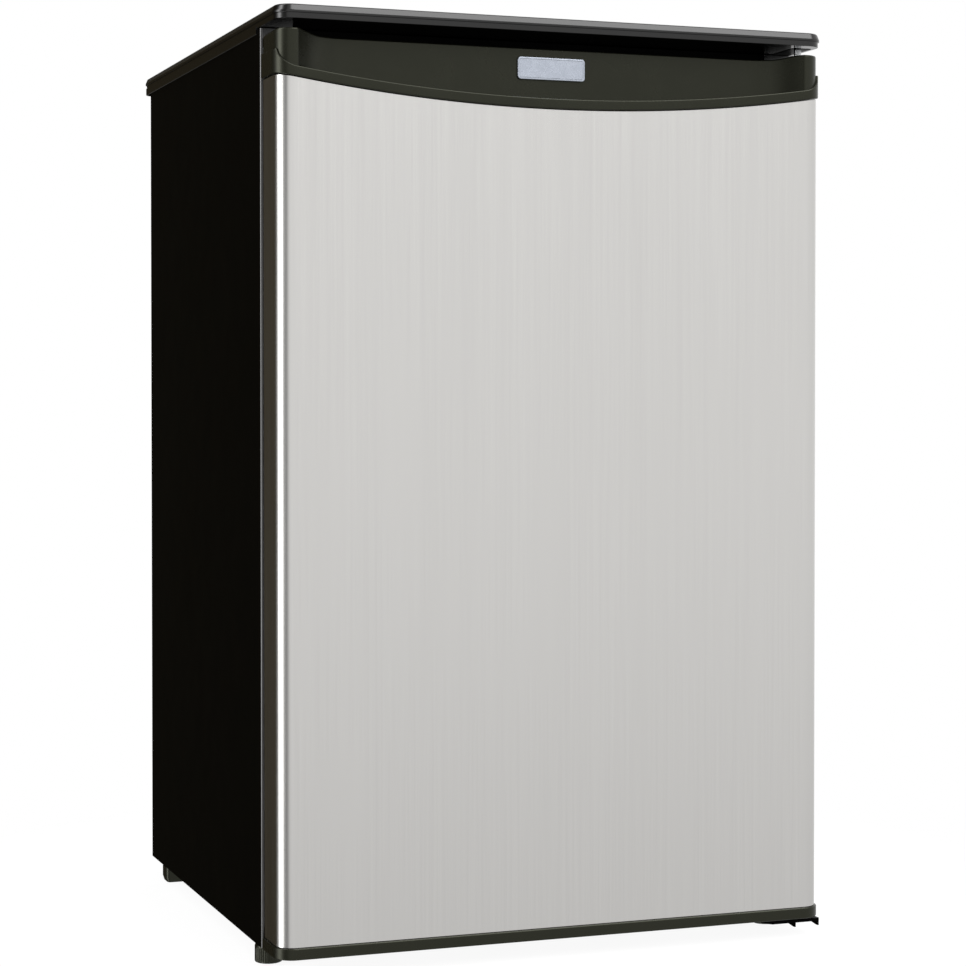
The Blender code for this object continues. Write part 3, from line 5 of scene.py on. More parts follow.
import bmesh
import bpy
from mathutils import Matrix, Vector


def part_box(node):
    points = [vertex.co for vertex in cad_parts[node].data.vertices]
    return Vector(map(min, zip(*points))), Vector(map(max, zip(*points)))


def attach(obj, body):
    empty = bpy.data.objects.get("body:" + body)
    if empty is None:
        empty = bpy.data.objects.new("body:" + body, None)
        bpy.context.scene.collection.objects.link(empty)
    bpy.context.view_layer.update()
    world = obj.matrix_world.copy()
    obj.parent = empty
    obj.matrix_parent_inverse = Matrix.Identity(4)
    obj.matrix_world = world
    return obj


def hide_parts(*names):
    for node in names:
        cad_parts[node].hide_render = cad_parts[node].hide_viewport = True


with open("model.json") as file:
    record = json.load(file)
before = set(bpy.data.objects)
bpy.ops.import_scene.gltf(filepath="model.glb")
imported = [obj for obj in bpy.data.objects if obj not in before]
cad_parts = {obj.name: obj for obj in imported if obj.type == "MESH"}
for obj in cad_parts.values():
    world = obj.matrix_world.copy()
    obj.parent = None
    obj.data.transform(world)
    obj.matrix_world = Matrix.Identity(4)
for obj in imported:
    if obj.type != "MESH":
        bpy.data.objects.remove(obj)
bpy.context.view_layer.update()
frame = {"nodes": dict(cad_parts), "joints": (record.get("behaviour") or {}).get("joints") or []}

# ---------------------------------------------------------------- shared sizes, in metres
SHEET = 0.0008                  # steel sheet
GAP = 0.0003                    # between pieces that touch
DOOR_CORNER = 0.016             # upright corners of the steel door
ARC_R = 1.620                   # curved top edge of the steel
RIM = 0.0093                    # cap's rim between the steel and the recess ledge
SWEEP_WIDTH = 0.0165            # the ledge turns up this close to the door's side
SWEEP_RISE = 0.0125
RECESS_DEPTH = 0.025
SCOOP_START = 0.0435            # the cap's top rises from here to SCOOP_END, measured from the side
SCOOP_END = 0.0175
SCOOP_SWEEP = 0.050             # length over which the recess sweeps in to its full depth
LIP = 0.0087                    # liner's lip round its mouth
LINER = 0.0015
HUMP_FRONT = 0.048              # step in the liner over the compressor
HUMP_CUT = 0.030
DYKE_HALF = 0.204               # raised frame inside the door: half its width, and its ends
DYKE_LOW = 0.070
DYKE_HIGH = 0.757
PIPE = 0.0025                   # radius of the cooling pipes
POT_CENTRE = (0.060, 0.165)     # the compressor's pot, seen from above
RUBBER_EDGE = 34.4              # edges of the rubber bushes sharper than this are rounded, in degrees

skin_low, skin_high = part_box("door_skin")
cap_low, cap_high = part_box("door_top_cap")
cover_low, cover_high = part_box("top_cover")
side_low, side_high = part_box("side_panel_left")
liner_low, liner_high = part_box("inner_liner")
CAB_HALF = -side_low.x
CAB_FRONT = side_low.y
CAB_BACK = side_high.y
DOOR_FRONT = skin_low.y
DOOR_BACK = skin_high.y
ARC_LOW = cap_low.z - GAP
DOOR_TOP = cap_high.z
WALL_TOP = DOOR_TOP - 0.0035
CAVITY_HALF = liner_high.x - LIP
CAVITY_BACK = liner_high.y - LINER
CAVITY_FLOOR = liner_low.z + LIP
CAVITY_TOP = liner_high.z - LIP
HUMP_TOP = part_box("crisper_cover")[0].z - GAP
RAIL_LEVELS = [HUMP_TOP + rise for rise in (0.093, 0.188, 0.278, 0.363, 0.448)]


# ---------------------------------------------------------------- finishes
def new_finish(name, colour, roughness, metallic=0.0, **sockets):
    """A Principled material; sockets are its own inputs by name, with _ for a space."""
    made = bpy.data.materials.new(name)
    made.use_nodes = True
    shader = made.node_tree.nodes["Principled BSDF"]
    shader.inputs["Base Color"].default_value = (*colour, 1.0)
    shader.inputs["Roughness"].default_value = roughness
    shader.inputs["Metallic"].default_value = metallic
    for socket, value in sockets.items():
        shader.inputs[socket.replace("_", " ")].default_value = value
    return made, made.node_tree, shader


def grain(tree, scale, stretch=(1.0, 1.0, 1.0), detail=3.0, seed=0.0):
    """Noise over the piece's own coordinates; stretch is its scale along X, Y and Z."""
    place = tree.nodes.new("ShaderNodeTexCoord")
    turn = tree.nodes.new("ShaderNodeMapping")
    turn.inputs["Scale"].default_value = stretch
    turn.inputs["Location"].default_value = (seed, seed * 0.7, seed * 0.3)
    noise = tree.nodes.new("ShaderNodeTexNoise")
    noise.inputs["Scale"].default_value = scale
    noise.inputs["Detail"].default_value = detail
    tree.links.new(place.outputs["Object"], turn.inputs["Vector"])
    tree.links.new(turn.outputs["Vector"], noise.inputs["Vector"])
    return noise.outputs["Fac"]


def vary_colour(tree, shader, source, dark, light):
    mix = tree.nodes.new("ShaderNodeMix")
    mix.data_type = "RGBA"
    mix.inputs["A"].default_value = (*dark, 1.0)
    mix.inputs["B"].default_value = (*light, 1.0)
    tree.links.new(source, mix.inputs["Factor"])
    tree.links.new(mix.outputs["Result"], shader.inputs["Base Color"])


def vary_roughness(tree, shader, source, low, high):
    spread = tree.nodes.new("ShaderNodeMapRange")
    spread.inputs["From Min"].default_value = 0.3
    spread.inputs["From Max"].default_value = 0.7
    spread.inputs["To Min"].default_value = low
    spread.inputs["To Max"].default_value = high
    tree.links.new(source, spread.inputs["Value"])
    tree.links.new(spread.outputs["Result"], shader.inputs["Roughness"])


def roughen(tree, shader, source, strength, distance):
    bump = tree.nodes.new("ShaderNodeBump")
    bump.inputs["Strength"].default_value = strength
    bump.inputs["Distance"].default_value = distance
    tree.links.new(source, bump.inputs["Height"])
    tree.links.new(bump.outputs["Normal"], shader.inputs["Normal"])


def textured(name, dark, light, rough, clouds=9.0, fine=1800.0, strength=0.12, relief=0.00015,
             metallic=0.0, **sockets):
    """Clouded colour and roughness with a fine grain in relief."""
    made, tree, shader = new_finish(name, light, rough[1], metallic, **sockets)
    cloud = grain(tree, clouds, detail=5.0)
    vary_colour(tree, shader, cloud, dark, light)
    vary_roughness(tree, shader, grain(tree, 3 * clouds, seed=4.0), *rough)
    roughen(tree, shader, grain(tree, fine, seed=9.0), strength, relief)
    return made


def brushed_steel():
    """Stainless sheet brushed upright: long fine scratches in colour, gloss and relief."""
    made, tree, shader = new_finish("brushed_steel", (0.62, 0.615, 0.60), 0.34, 1.0)
    upright = (1.0, 1.0, 0.0035)
    lines = grain(tree, 2100.0, upright, detail=6.0)
    broad = grain(tree, 240.0, upright, detail=4.0, seed=3.0)
    both = tree.nodes.new("ShaderNodeMath")
    both.operation = "MULTIPLY_ADD"
    both.inputs[1].default_value = 0.65
    tree.links.new(lines, both.inputs[0])
    weaker = tree.nodes.new("ShaderNodeMath")
    weaker.operation = "MULTIPLY"
    weaker.inputs[1].default_value = 0.35
    tree.links.new(broad, weaker.inputs[0])
    tree.links.new(weaker.outputs[0], both.inputs[2])
    vary_colour(tree, shader, both.outputs[0], (0.560, 0.551, 0.537), (0.658, 0.648, 0.632))
    vary_roughness(tree, shader, both.outputs[0], 0.19, 0.27)
    roughen(tree, shader, lines, 0.10, 0.00008)
    return made


def foam():
    made, tree, shader = new_finish("rigid_foam", (0.80, 0.66, 0.36), 0.92)
    cells = tree.nodes.new("ShaderNodeTexVoronoi")
    cells.inputs["Scale"].default_value = 900.0
    place = tree.nodes.new("ShaderNodeTexCoord")
    tree.links.new(place.outputs["Object"], cells.inputs["Vector"])
    vary_colour(tree, shader, grain(tree, 25.0), (0.70, 0.55, 0.28), (0.86, 0.74, 0.44))
    roughen(tree, shader, cells.outputs["Distance"], 0.6, 0.0006)
    return made


def clear(name, tint, roughness, ior, scratch):
    """Clear solid with faint moulding haze."""
    made, tree, shader = new_finish(name, tint, roughness, Transmission_Weight=1.0, IOR=ior)
    vary_roughness(tree, shader, grain(tree, 12.0), roughness, roughness + scratch)
    roughen(tree, shader, grain(tree, 40.0, seed=2.0), 0.05, 0.0003)
    return made


def frosted_lamp_glass():
    made, tree, shader = new_finish("lamp_glass", (0.93, 0.92, 0.88), 0.25, Transmission_Weight=0.35, IOR=1.5)
    vary_colour(tree, shader, grain(tree, 60.0), (0.86, 0.85, 0.80), (0.95, 0.94, 0.90))
    return made


FINISHES = {
    "gloss_black_plastic": textured("gloss_black_plastic", (0.0016, 0.0016, 0.0014), (0.0026, 0.0026, 0.0023),
                                    (0.13, 0.17), fine=900.0, strength=0.04, relief=0.0001),
    "satin_black_plastic": textured("satin_black_plastic", (0.0044, 0.0046, 0.0028), (0.0068, 0.0070, 0.0046),
                                    (0.22, 0.30), fine=2600.0, strength=0.14, relief=0.00012,
                                    Specular_IOR_Level=0.31, Specular_Tint=(0.97, 1.0, 0.78, 1.0)),
    # real black paint, made darker and far less glossy than the frame paint: painted shade on the side sheets
    # and the top panel
    "black_paint": textured("black_paint", (0.0006, 0.0006, 0.0005), (0.0010, 0.0010, 0.0009), (0.34, 0.38),
                            fine=1400.0, strength=0.03, relief=0.0001, Specular_IOR_Level=0.02),
    # brighter, glossier copy of the cabinet's black paint: a painted highlight line along the side panels'
    # front folds
    "fold_highlight_paint": textured("fold_highlight_paint", (0.004, 0.004, 0.004), (0.006, 0.006, 0.006), (0.14, 0.18),
                           fine=1400.0, strength=0.05, relief=0.0001, Specular_IOR_Level=1.0),
    "frame_paint": textured("frame_paint", (0.0035, 0.0035, 0.0033), (0.0060, 0.0060, 0.0056), (0.30, 0.38),
                            fine=1400.0, strength=0.08, relief=0.0001, Specular_IOR_Level=0.30),
    "brushed_steel": brushed_steel(),
    "zinc": textured("zinc", (0.50, 0.51, 0.52), (0.66, 0.67, 0.68), (0.26, 0.42), clouds=60.0,
                     fine=2200.0, strength=0.08, metallic=1.0),
    "copper": textured("copper", (0.55, 0.24, 0.12), (0.80, 0.43, 0.26), (0.24, 0.42), clouds=40.0,
                       fine=1500.0, strength=0.06, metallic=1.0),
    "black_rubber": textured("black_rubber", (0.013, 0.013, 0.013), (0.028, 0.028, 0.027), (0.62, 0.80),
                             clouds=50.0, fine=1600.0, strength=0.25, relief=0.0002),
    "gasket_rubber": textured("gasket_rubber", (0.018, 0.018, 0.018), (0.030, 0.030, 0.029), (0.48, 0.62),
                              clouds=30.0, fine=1500.0, strength=0.15),
    "foam": foam(),
    "white_liner": textured("white_liner", (0.79, 0.81, 0.81), (0.82, 0.835, 0.83), (0.26, 0.30),
                            clouds=5.0, fine=420.0, strength=0.05, relief=0.00015),
    "white_plastic": textured("white_plastic", (0.74, 0.75, 0.75), (0.82, 0.83, 0.83), (0.26, 0.38),
                              clouds=20.0, fine=1500.0, strength=0.10),
    "clear_plastic": clear("clear_plastic", (0.93, 0.97, 0.98), 0.04, 1.49, 0.05),
    "shelf_glass": clear("shelf_glass", (0.86, 0.96, 0.92), 0.0, 1.52, 0.02),
    "lamp_glass": frosted_lamp_glass(),
    "badge_metal": textured("badge_metal", (0.38, 0.41, 0.47), (0.47, 0.505, 0.575), (0.22, 0.30),
                            clouds=70.0, fine=2400.0, strength=0.06, metallic=1.0),
    "bare_aluminium": textured("bare_aluminium", (0.70, 0.71, 0.72), (0.83, 0.84, 0.85), (0.30, 0.46),
                               clouds=30.0, fine=1200.0, strength=0.10, metallic=1.0),
    "compressor_paint": textured("compressor_paint", (0.009, 0.009, 0.009), (0.020, 0.020, 0.020),
                                 (0.28, 0.44), clouds=35.0, fine=700.0, strength=0.20, relief=0.0002),
}


# ---------------------------------------------------------------- making pieces
def piece(name, bm, body, finish, nodes=(), smooth=35.0, even=True):
    """Turn a bmesh in the frame's coordinates into a piece that rides on a body."""
    bmesh.ops.remove_doubles(bm, verts=bm.verts, dist=1e-6)
    mesh = bpy.data.meshes.new(name)
    bm.to_mesh(mesh)
    bm.free()
    mesh.materials.append(FINISHES[finish])
    mesh.shade_smooth()
    mesh.set_sharp_from_angle(angle=math.radians(smooth))
    made = bpy.data.objects.new(name, mesh)
    bpy.context.collection.objects.link(made)
    if even:
        level = made.modifiers.new("even_faces", "WEIGHTED_NORMAL")
        level.keep_sharp = True
    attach(made, body)
    if nodes:
        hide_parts(*nodes)
    return made


def rounded(corners, radius, steps=6):
    """A closed outline with an arc at each corner; radius is one value, or one for each corner."""
    radii = radius if isinstance(radius, (list, tuple)) else [radius] * len(corners)
    points = []
    for index, corner in enumerate(corners):
        here = Vector(corner)
        into = (Vector(corners[index - 1]) - here).normalized()
        out = (Vector(corners[(index + 1) % len(corners)]) - here).normalized()
        if radii[index] <= 0:
            points.append(here)
            continue
        half = into.angle(out) / 2
        centre = here + (into + out).normalized() * (radii[index] / math.sin(half))
        start = here + into * (radii[index] / math.tan(half)) - centre
        end = here + out * (radii[index] / math.tan(half)) - centre
        sweep = math.pi - 2 * half
        for step in range(steps + 1):
            part = step / steps
            points.append(centre + start * (math.sin((1 - part) * sweep) / math.sin(sweep))
                          + end * (math.sin(part * sweep) / math.sin(sweep)))
    return points


def plan(low, high, z, radius, steps=6):
    """Rounded rectangle at height z; its corners run from front right round by the back to front left."""
    corners = [(high[0], low[1], z), (high[0], high[1], z), (low[0], high[1], z), (low[0], low[1], z)]
    return rounded(corners, radius, steps)


def wall_plan(low, high, y, radius, steps=6):
    """Rounded rectangle at depth y that faces +Y."""
    corners = [(low[0], y, low[1]), (low[0], y, high[1]), (high[0], y, high[1]), (high[0], y, low[1])]
    return rounded(corners, radius, steps)


def pull(bm, face, rise, spread):
    """Extrude one face along its normal and move its outline out by spread."""
    made = bmesh.ops.extrude_discrete_faces(bm, faces=[face])["faces"][0]
    made.normal_update()
    normal = made.normal.copy()
    corners = [loop.vert for loop in made.loops]
    moves = []
    for index, vert in enumerate(corners):
        into = (vert.co - corners[index - 1].co).normalized()
        out = (corners[(index + 1) % len(corners)].co - vert.co).normalized()
        one = into.cross(normal)
        miter = one + out.cross(normal)
        miter.normalize()
        moves.append(normal * rise + miter * (spread / max(0.3, miter.dot(one))))
    for vert, move in zip(corners, moves):
        vert.co += move
    return made


def stack(bm, outline, steps):
    """Closed solid: an outline drawn up through (rise, spread) steps."""
    first = [bm.verts.new(point) for point in outline]
    face = bm.faces.new(first)
    for rise, spread in steps:
        face = pull(bm, face, rise, spread)
    bm.faces.new(first[::-1])


def bend(radius, start, end, steps=4):
    """Steps round an arc, from angle start to end in degrees: 0 faces outwards and 90 along the rise."""
    turns = [math.radians(start + (end - start) * step / steps) for step in range(steps + 1)]
    places = [(radius * math.sin(turn), radius * math.cos(turn)) for turn in turns]
    return [(b[0] - a[0], b[1] - a[1]) for a, b in zip(places, places[1:])]


def loft(bm, rings):
    """Closed solid: the first ring's face is drawn out through the others."""
    first = [bm.verts.new(point) for point in rings[0]]
    face = bm.faces.new(first)
    for ring in rings[1:]:
        face = bmesh.ops.extrude_discrete_faces(bm, faces=[face])["faces"][0]
        for loop, point in zip(face.loops, ring):
            loop.vert.co = point
    bm.faces.new(first[::-1])
    bmesh.ops.recalc_face_normals(bm, faces=bm.faces)


def round_edges(bm, edges, width, steps):
    """Round a set of edges over."""
    bmesh.ops.bevel(bm, geom=edges, offset=width, offset_type="OFFSET", affect="EDGES",
                    segments=steps, profile=0.5, material=-1, clamp_overlap=True)


def sharp_edges(bm, angle):
    """Edges whose two faces meet at more than an angle in degrees."""
    return [edge for edge in bm.edges
            if len(edge.link_faces) == 2 and edge.calc_face_angle(0.0) > math.radians(angle)]


def block(bm, low, high, radius, steps=3):
    """Box with rounded edges."""
    made = bmesh.ops.create_cube(bm, size=1.0)["verts"]
    for vert in made:
        vert.co = Vector((low[i] if vert.co[i] < 0 else high[i] for i in range(3)))
    edges = list({edge for vert in made for edge in vert.link_edges})
    round_edges(bm, edges, radius, steps)


def ridged(size, cut, ridges):
    """(across, up) points round a circle, with a groove of depth cut between ridges."""
    points = []
    for step in range(4 * ridges):
        turn = math.tau * step / (4 * ridges)
        reach = size - cut * (0.0, 0.5, 1.0, 0.5)[step % 4]
        points.append((reach * math.cos(turn), reach * math.sin(turn)))
    return points


def turned(bm, profile, at, axis="Z", steps=64):
    """Spin (radius, height) points about the Y or Z axis through `at`; the shape is closed."""
    before = set(bm.verts)
    upright = axis == "Z"
    points = [bm.verts.new((at[0] + r, at[1] + (0.0 if upright else h), at[2] + (h if upright else 0.0)))
              for r, h in profile]
    closed = profile[0][0] > 0.0
    ends = points[1:] + points[:1] if closed else points[1:]
    edges = [bm.edges.new(pair) for pair in zip(points, ends)]
    direction = [float(axis == name) for name in "XYZ"]
    bmesh.ops.spin(bm, geom=points + edges, cent=at, axis=direction, angle=math.tau,
                   steps=steps, use_merge=True)
    made = [vert for vert in bm.verts if vert not in before]
    bmesh.ops.remove_doubles(bm, verts=made, dist=1e-6)
    made = [vert for vert in made if vert.is_valid]
    faces = {face for vert in made for face in vert.link_faces}
    bmesh.ops.recalc_face_normals(bm, faces=list(faces))


def softened(node, body, finish, width, steps=3):
    """The node's own shape with its loose triangles merged and its edges rounded."""
    bm = bmesh.new()
    bm.from_mesh(frame["nodes"][node].data)
    bmesh.ops.remove_doubles(bm, verts=bm.verts, dist=2e-6)
    bmesh.ops.dissolve_limit(bm, angle_limit=math.radians(1.0), verts=bm.verts, edges=bm.edges)
    round_edges(bm, sharp_edges(bm, 28.0), width, steps)
    piece(f"{node}_shell", bm, body, finish, (node,))


def tube(name, path, radius, body, finish, nodes):
    """Round tube along a path, as a bevelled curve with closed ends."""
    curve = bpy.data.curves.new(name, "CURVE")
    curve.dimensions = "3D"
    curve.bevel_depth = radius
    curve.bevel_resolution = 5
    curve.use_fill_caps = True
    line = curve.splines.new("POLY")
    line.points.add(len(path) - 1)
    for point, place in zip(line.points, path):
        point.co = (*place, 1.0)
    curve.materials.append(FINISHES[finish])
    made = bpy.data.objects.new(name, curve)
    bpy.context.collection.objects.link(made)
    line.use_smooth = True
    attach(made, body)
    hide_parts(*nodes)


def route(corners, radius, steps=8):
    """An open path with an arc at each inner corner."""
    return rounded(corners, [0.0] + [radius] * (len(corners) - 2) + [0.0], steps)


# ---------------------------------------------------------------- shapes of the door
def arc_edge(x):
    """Height of the steel's curved top edge."""
    return ARC_LOW + ARC_R - math.sqrt(ARC_R ** 2 - x ** 2)


def ledge(x):
    """Height of the recess ledge: it follows the arc, then turns up to the door's side."""
    reach = max(0.0, min(1.0, (abs(x) - CAB_HALF + SWEEP_WIDTH) / SWEEP_WIDTH))
    return arc_edge(x) + RIM + SWEEP_RISE * (1 - math.sqrt(1 - reach ** 2))


def door_path(outset, corner_steps=14, flat_steps=56, back=None):
    """Plan of the door's front and sides, from the left side's back round to the right side's."""
    radius = DOOR_CORNER + outset
    centre_x = CAB_HALF - DOOR_CORNER
    centre_y = DOOR_FRONT + DOOR_CORNER
    back = DOOR_BACK if back is None else back
    left = [(-centre_x - radius, back), (-centre_x - radius, (back + centre_y) / 2)]
    for step in range(corner_steps + 1):
        turn = math.pi / 2 * step / corner_steps
        left.append((-centre_x - radius * math.cos(turn), centre_y - radius * math.sin(turn)))
    flat = [(-centre_x + 2 * centre_x * step / flat_steps, DOOR_FRONT - outset)
            for step in range(1, flat_steps)]
    return left + flat + [(-x, y) for x, y in left[::-1]]


def door_front(x):
    """Front of the steel at x."""
    into = abs(x) - (CAB_HALF - DOOR_CORNER)
    if into <= 0:
        return DOOR_FRONT
    return DOOR_FRONT + DOOR_CORNER - math.sqrt(max(0.0, DOOR_CORNER ** 2 - into ** 2))


def door_skin():
    """Steel sheet round the front and both sides, with a return flange behind."""
    flange = 0.010
    ends = (-CAB_HALF + flange, CAB_HALF - flange)
    outer = [(ends[0], DOOR_BACK)] + door_path(0.0) + [(ends[1], DOOR_BACK)]
    behind = DOOR_BACK - SHEET
    inner = [(ends[0], behind)] + door_path(-SHEET, back=behind) + [(ends[1], behind)]
    edge = 0.0002
    rings = []
    for (ox, oy), (ix, iy) in zip(outer, inner):
        low = skin_low.z
        high = arc_edge(ox) - GAP
        mid_x, mid_y = (ox + ix) / 2, (oy + iy) / 2
        rings.append([(ox, oy, low + edge), (mid_x, mid_y, low), (ix, iy, low + edge),
                      (ix, iy, high - edge), (mid_x, mid_y, high), (ox, oy, high - edge)])
    bm = bmesh.new()
    loft(bm, rings)
    piece("door_skin_sheet", bm, "door", "brushed_steel", ("door_skin",))


def band(bm, low, high, outset, depth, edge=0.0011, steps=4):
    """A rim round the door's front and sides: low and high give its heights at x."""
    outer = door_path(outset)
    inner = door_path(outset - depth)
    rings = []
    for (ox, oy), (ix, iy) in zip(outer, inner):
        away = Vector((ox - ix, oy - iy)).normalized()
        bottom, top = low(ox), high(ox)
        ring = [(ix, iy, bottom)]
        for start in (-90, 0):
            level = bottom + edge if start < 0 else top - edge
            for step in range(steps + 1):
                turn = math.radians(start + 90 * step / steps)
                reach = edge * (math.cos(turn) - 1)
                ring.append((ox + away.x * reach, oy + away.y * reach, level + edge * math.sin(turn)))
        ring.append((ix, iy, top))
        rings.append(ring)
    loft(bm, rings)


def recess_wall(x):
    """Face of the handle recess: it sweeps in from each end block and flattens towards the middle."""
    reach = max(0.0, min(1.0, (CAB_HALF - abs(x) - SCOOP_END) / SCOOP_SWEEP))
    return door_front(x) + 0.0004 + RECESS_DEPTH * reach * (2 - reach)


def cap_top(x):
    """Top of the cap: the end blocks stand a little higher and round off at the sides."""
    start = CAB_HALF - SCOOP_START
    end = CAB_HALF - SCOOP_END
    reach = max(0.0, min(1.0, (abs(x) - start) / (end - start)))
    top = WALL_TOP + (DOOR_TOP - WALL_TOP) * reach * reach * (3 - 2 * reach)
    edge = 0.0035
    over = abs(x) - (CAB_HALF - edge)
    return top if over <= 0 else top - edge + math.sqrt(max(0.0, edge ** 2 - over ** 2))


def cap_stations():
    """Places across the cap, close together at the scoops and at the round corners."""
    half = [CAB_HALF - SCOOP_START - step * 0.0053 for step in range(40)]
    half = [x for x in half if x > 0]
    scoop = 18
    half += [CAB_HALF - SCOOP_START + (SCOOP_START - SCOOP_END) * step / scoop
             for step in range(1, scoop + 1)]
    corner = 20
    start = CAB_HALF - SCOOP_END
    half += [start + SCOOP_END * math.sin(math.pi / 2 * step / corner) for step in range(1, corner + 1)]
    half = sorted(half)
    return [-x for x in half[::-1]] + [0.0] + half


def door_top_cap():
    """Moulded cap: a proud rim along the curved edge, the handle recess and two end blocks."""
    bm = bmesh.new()
    fillet = 0.0022
    edge = 0.0016
    rings = []
    for x in cap_stations():
        front = door_front(x) + 0.0006
        wall = recess_wall(x)
        step_z = ledge(x)
        depth = wall - front
        soft = min(fillet, max(0.00005, depth * 0.6))
        top = cap_top(x)
        back = DOOR_BACK - 0.0002
        round_top = min(edge, (back - wall) * 0.3)
        base = arc_edge(x) + GAP + 0.0005
        ring = [(x, front, base), (x, back, base), (x, back, top - 0.0008), (x, back - 0.0008, top)]
        for step in range(6):
            turn = math.pi / 2 * step / 5
            ring.append((x, wall + round_top * (1 - math.sin(turn)), top - round_top * (1 - math.cos(turn))))
        for step in range(6):
            turn = math.pi / 2 * step / 5
            ring.append((x, wall - soft * (1 - math.cos(turn)), step_z + soft * (1 - math.sin(turn))))
        ring.append((x, front, step_z))
        rings.append(ring)
    loft(bm, rings)
    band(bm, lambda x: arc_edge(x) + GAP, ledge, 0.002, 0.0030)
    piece("door_top_cap_moulding", bm, "door", "satin_black_plastic", ("door_top_cap",), smooth=50)


def door_bottom_cap():
    """Moulded end cap with a rounded band that stands proud of the steel."""
    low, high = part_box("door_bottom_cap")
    bm = bmesh.new()
    points = [(x, y, low.z) for x, y in door_path(0.0009)]
    stack(bm, points, bend(0.0011, -90, 0) + [(high.z - low.z - 0.0022, 0.0)] + bend(0.0011, 0, 90))
    pin = frame["joints"][0]["pos_m"]
    socket = 0.0095
    turned(bm, [(0.0064, -0.0004), (socket, -0.0004), (socket, 0.004), (0.0064, 0.004)],
           (pin[0], pin[1], low.z), steps=48)
    piece("door_bottom_cap_moulding", bm, "door", "satin_black_plastic", ("door_bottom_cap",), smooth=40)


def badge():
    """Blank plate with a bevelled edge."""
    low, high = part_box("badge")
    bm = bmesh.new()
    corners = [(low.x, high.y, low.z), (high.x, high.y, low.z),
               (high.x, high.y, high.z), (low.x, high.y, high.z)]
    edge = [(0.0006, 0.0)] + bend(0.0008, 0, 90, 4)
    stack(bm, rounded(corners, 0.0030), edge + [(0.0, -0.0010), (-0.0002, -0.0003)])
    piece("badge_plate", bm, "door", "badge_metal", ("badge",), smooth=30)


# ---------------------------------------------------------------- cabinet shell
def top_cover():
    """Moulded lid: a sloping upper band over a set-back lower band, and skirts at the sides."""
    bm = bmesh.new()
    under = cover_high.z - 0.0124
    corner = 0.0070
    radii = [0.0150, corner, corner, 0.0150]
    steps = bend(0.0005, -90, 0, 3) + [(0.0042, 0.0), (0.0001, 0.0006)]
    steps += bend(0.0006, -90, 0, 4)
    slope = bend(0.0024, 0, 21, 3) + [(0.0036, -0.0014)] + bend(0.0023, 21, 90, 7)
    risen = sum(rise for rise, _ in steps + slope)
    steps += [(cover_high.z - under - risen, 0.0)] + slope
    spread = sum(out for _, out in steps[:-len(slope)])
    low = (cover_low.x + spread, cover_low.y + spread)
    high = (cover_high.x - spread, cover_high.y - spread)
    outline = plan(low, high, under, radii, 10)
    stack(bm, outline, steps)
    skirt_wall = 0.0016
    path = rounded([(cover_high.x, CAB_FRONT + 0.010, 0), (cover_high.x, cover_high.y, 0),
                    (cover_low.x, cover_high.y, 0), (cover_low.x, CAB_FRONT + 0.010, 0)],
                   [0.0, corner, corner, 0.0], 8)
    rings = []
    for index, point in enumerate(path):
        before = path[max(0, index - 1)]
        after = path[min(len(path) - 1, index + 1)]
        along = (after - before).normalized()
        inward = Vector((-along.y, along.x, 0.0))
        outer = point + inward * 0.0008
        inner = outer + inward * skirt_wall
        bottom = cover_low.z
        top = under + 0.002
        rings.append([(outer.x, outer.y, top), (outer.x, outer.y, bottom + 0.0005),
                      ((outer.x + inner.x) / 2, (outer.y + inner.y) / 2, bottom),
                      (inner.x, inner.y, bottom + 0.0005), (inner.x, inner.y, top)])
    loft(bm, rings)
    piece("top_cover_moulding", bm, "cabinet", "gloss_black_plastic", ("top_cover",), smooth=30)


def side_panel(name, side):
    """Folded sheet with a rounded front corner and a return flange for the gasket; the flat sheet is painted
    darker as painted shade, and the front fold brighter and glossier as a painted highlight.
    """
    low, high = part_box(name)
    fold = 0.0024

    def outline(inset, back_radius):
        wall = side * (CAB_HALF - inset)
        flange = side * (CAB_HALF - 0.0295)
        hem = side * (CAB_HALF - 0.004)
        front, back = CAB_FRONT + inset, CAB_BACK - inset
        corners = [(flange, front, 0), (wall, front, 0), (wall, back, 0), (hem, back, 0)]
        return rounded(corners, [0.0, fold - inset, back_radius, 0.0])

    rings = [[(a.x, a.y, low.z), (b.x, b.y, low.z), (b.x, b.y, high.z), (a.x, a.y, high.z)]
             for a, b in zip(outline(0.0, 0.0015), outline(SHEET, 0.0007))]
    turn = 8                    # the last point of the front fold
    bm = bmesh.new()
    loft(bm, rings[turn - 1:])
    # the flat sheet takes the darker, near-matt black paint: painted shade on the cabinet's side
    piece(f"{name}_sheet", bm, "cabinet", "black_paint", (name,), smooth=40)
    bm = bmesh.new()
    loft(bm, rings[:turn])
    # the fold takes the brighter, glossier paint: a painted highlight along the cabinet's front edge
    piece(f"{name}_fold", bm, "cabinet", "fold_highlight_paint", smooth=40)


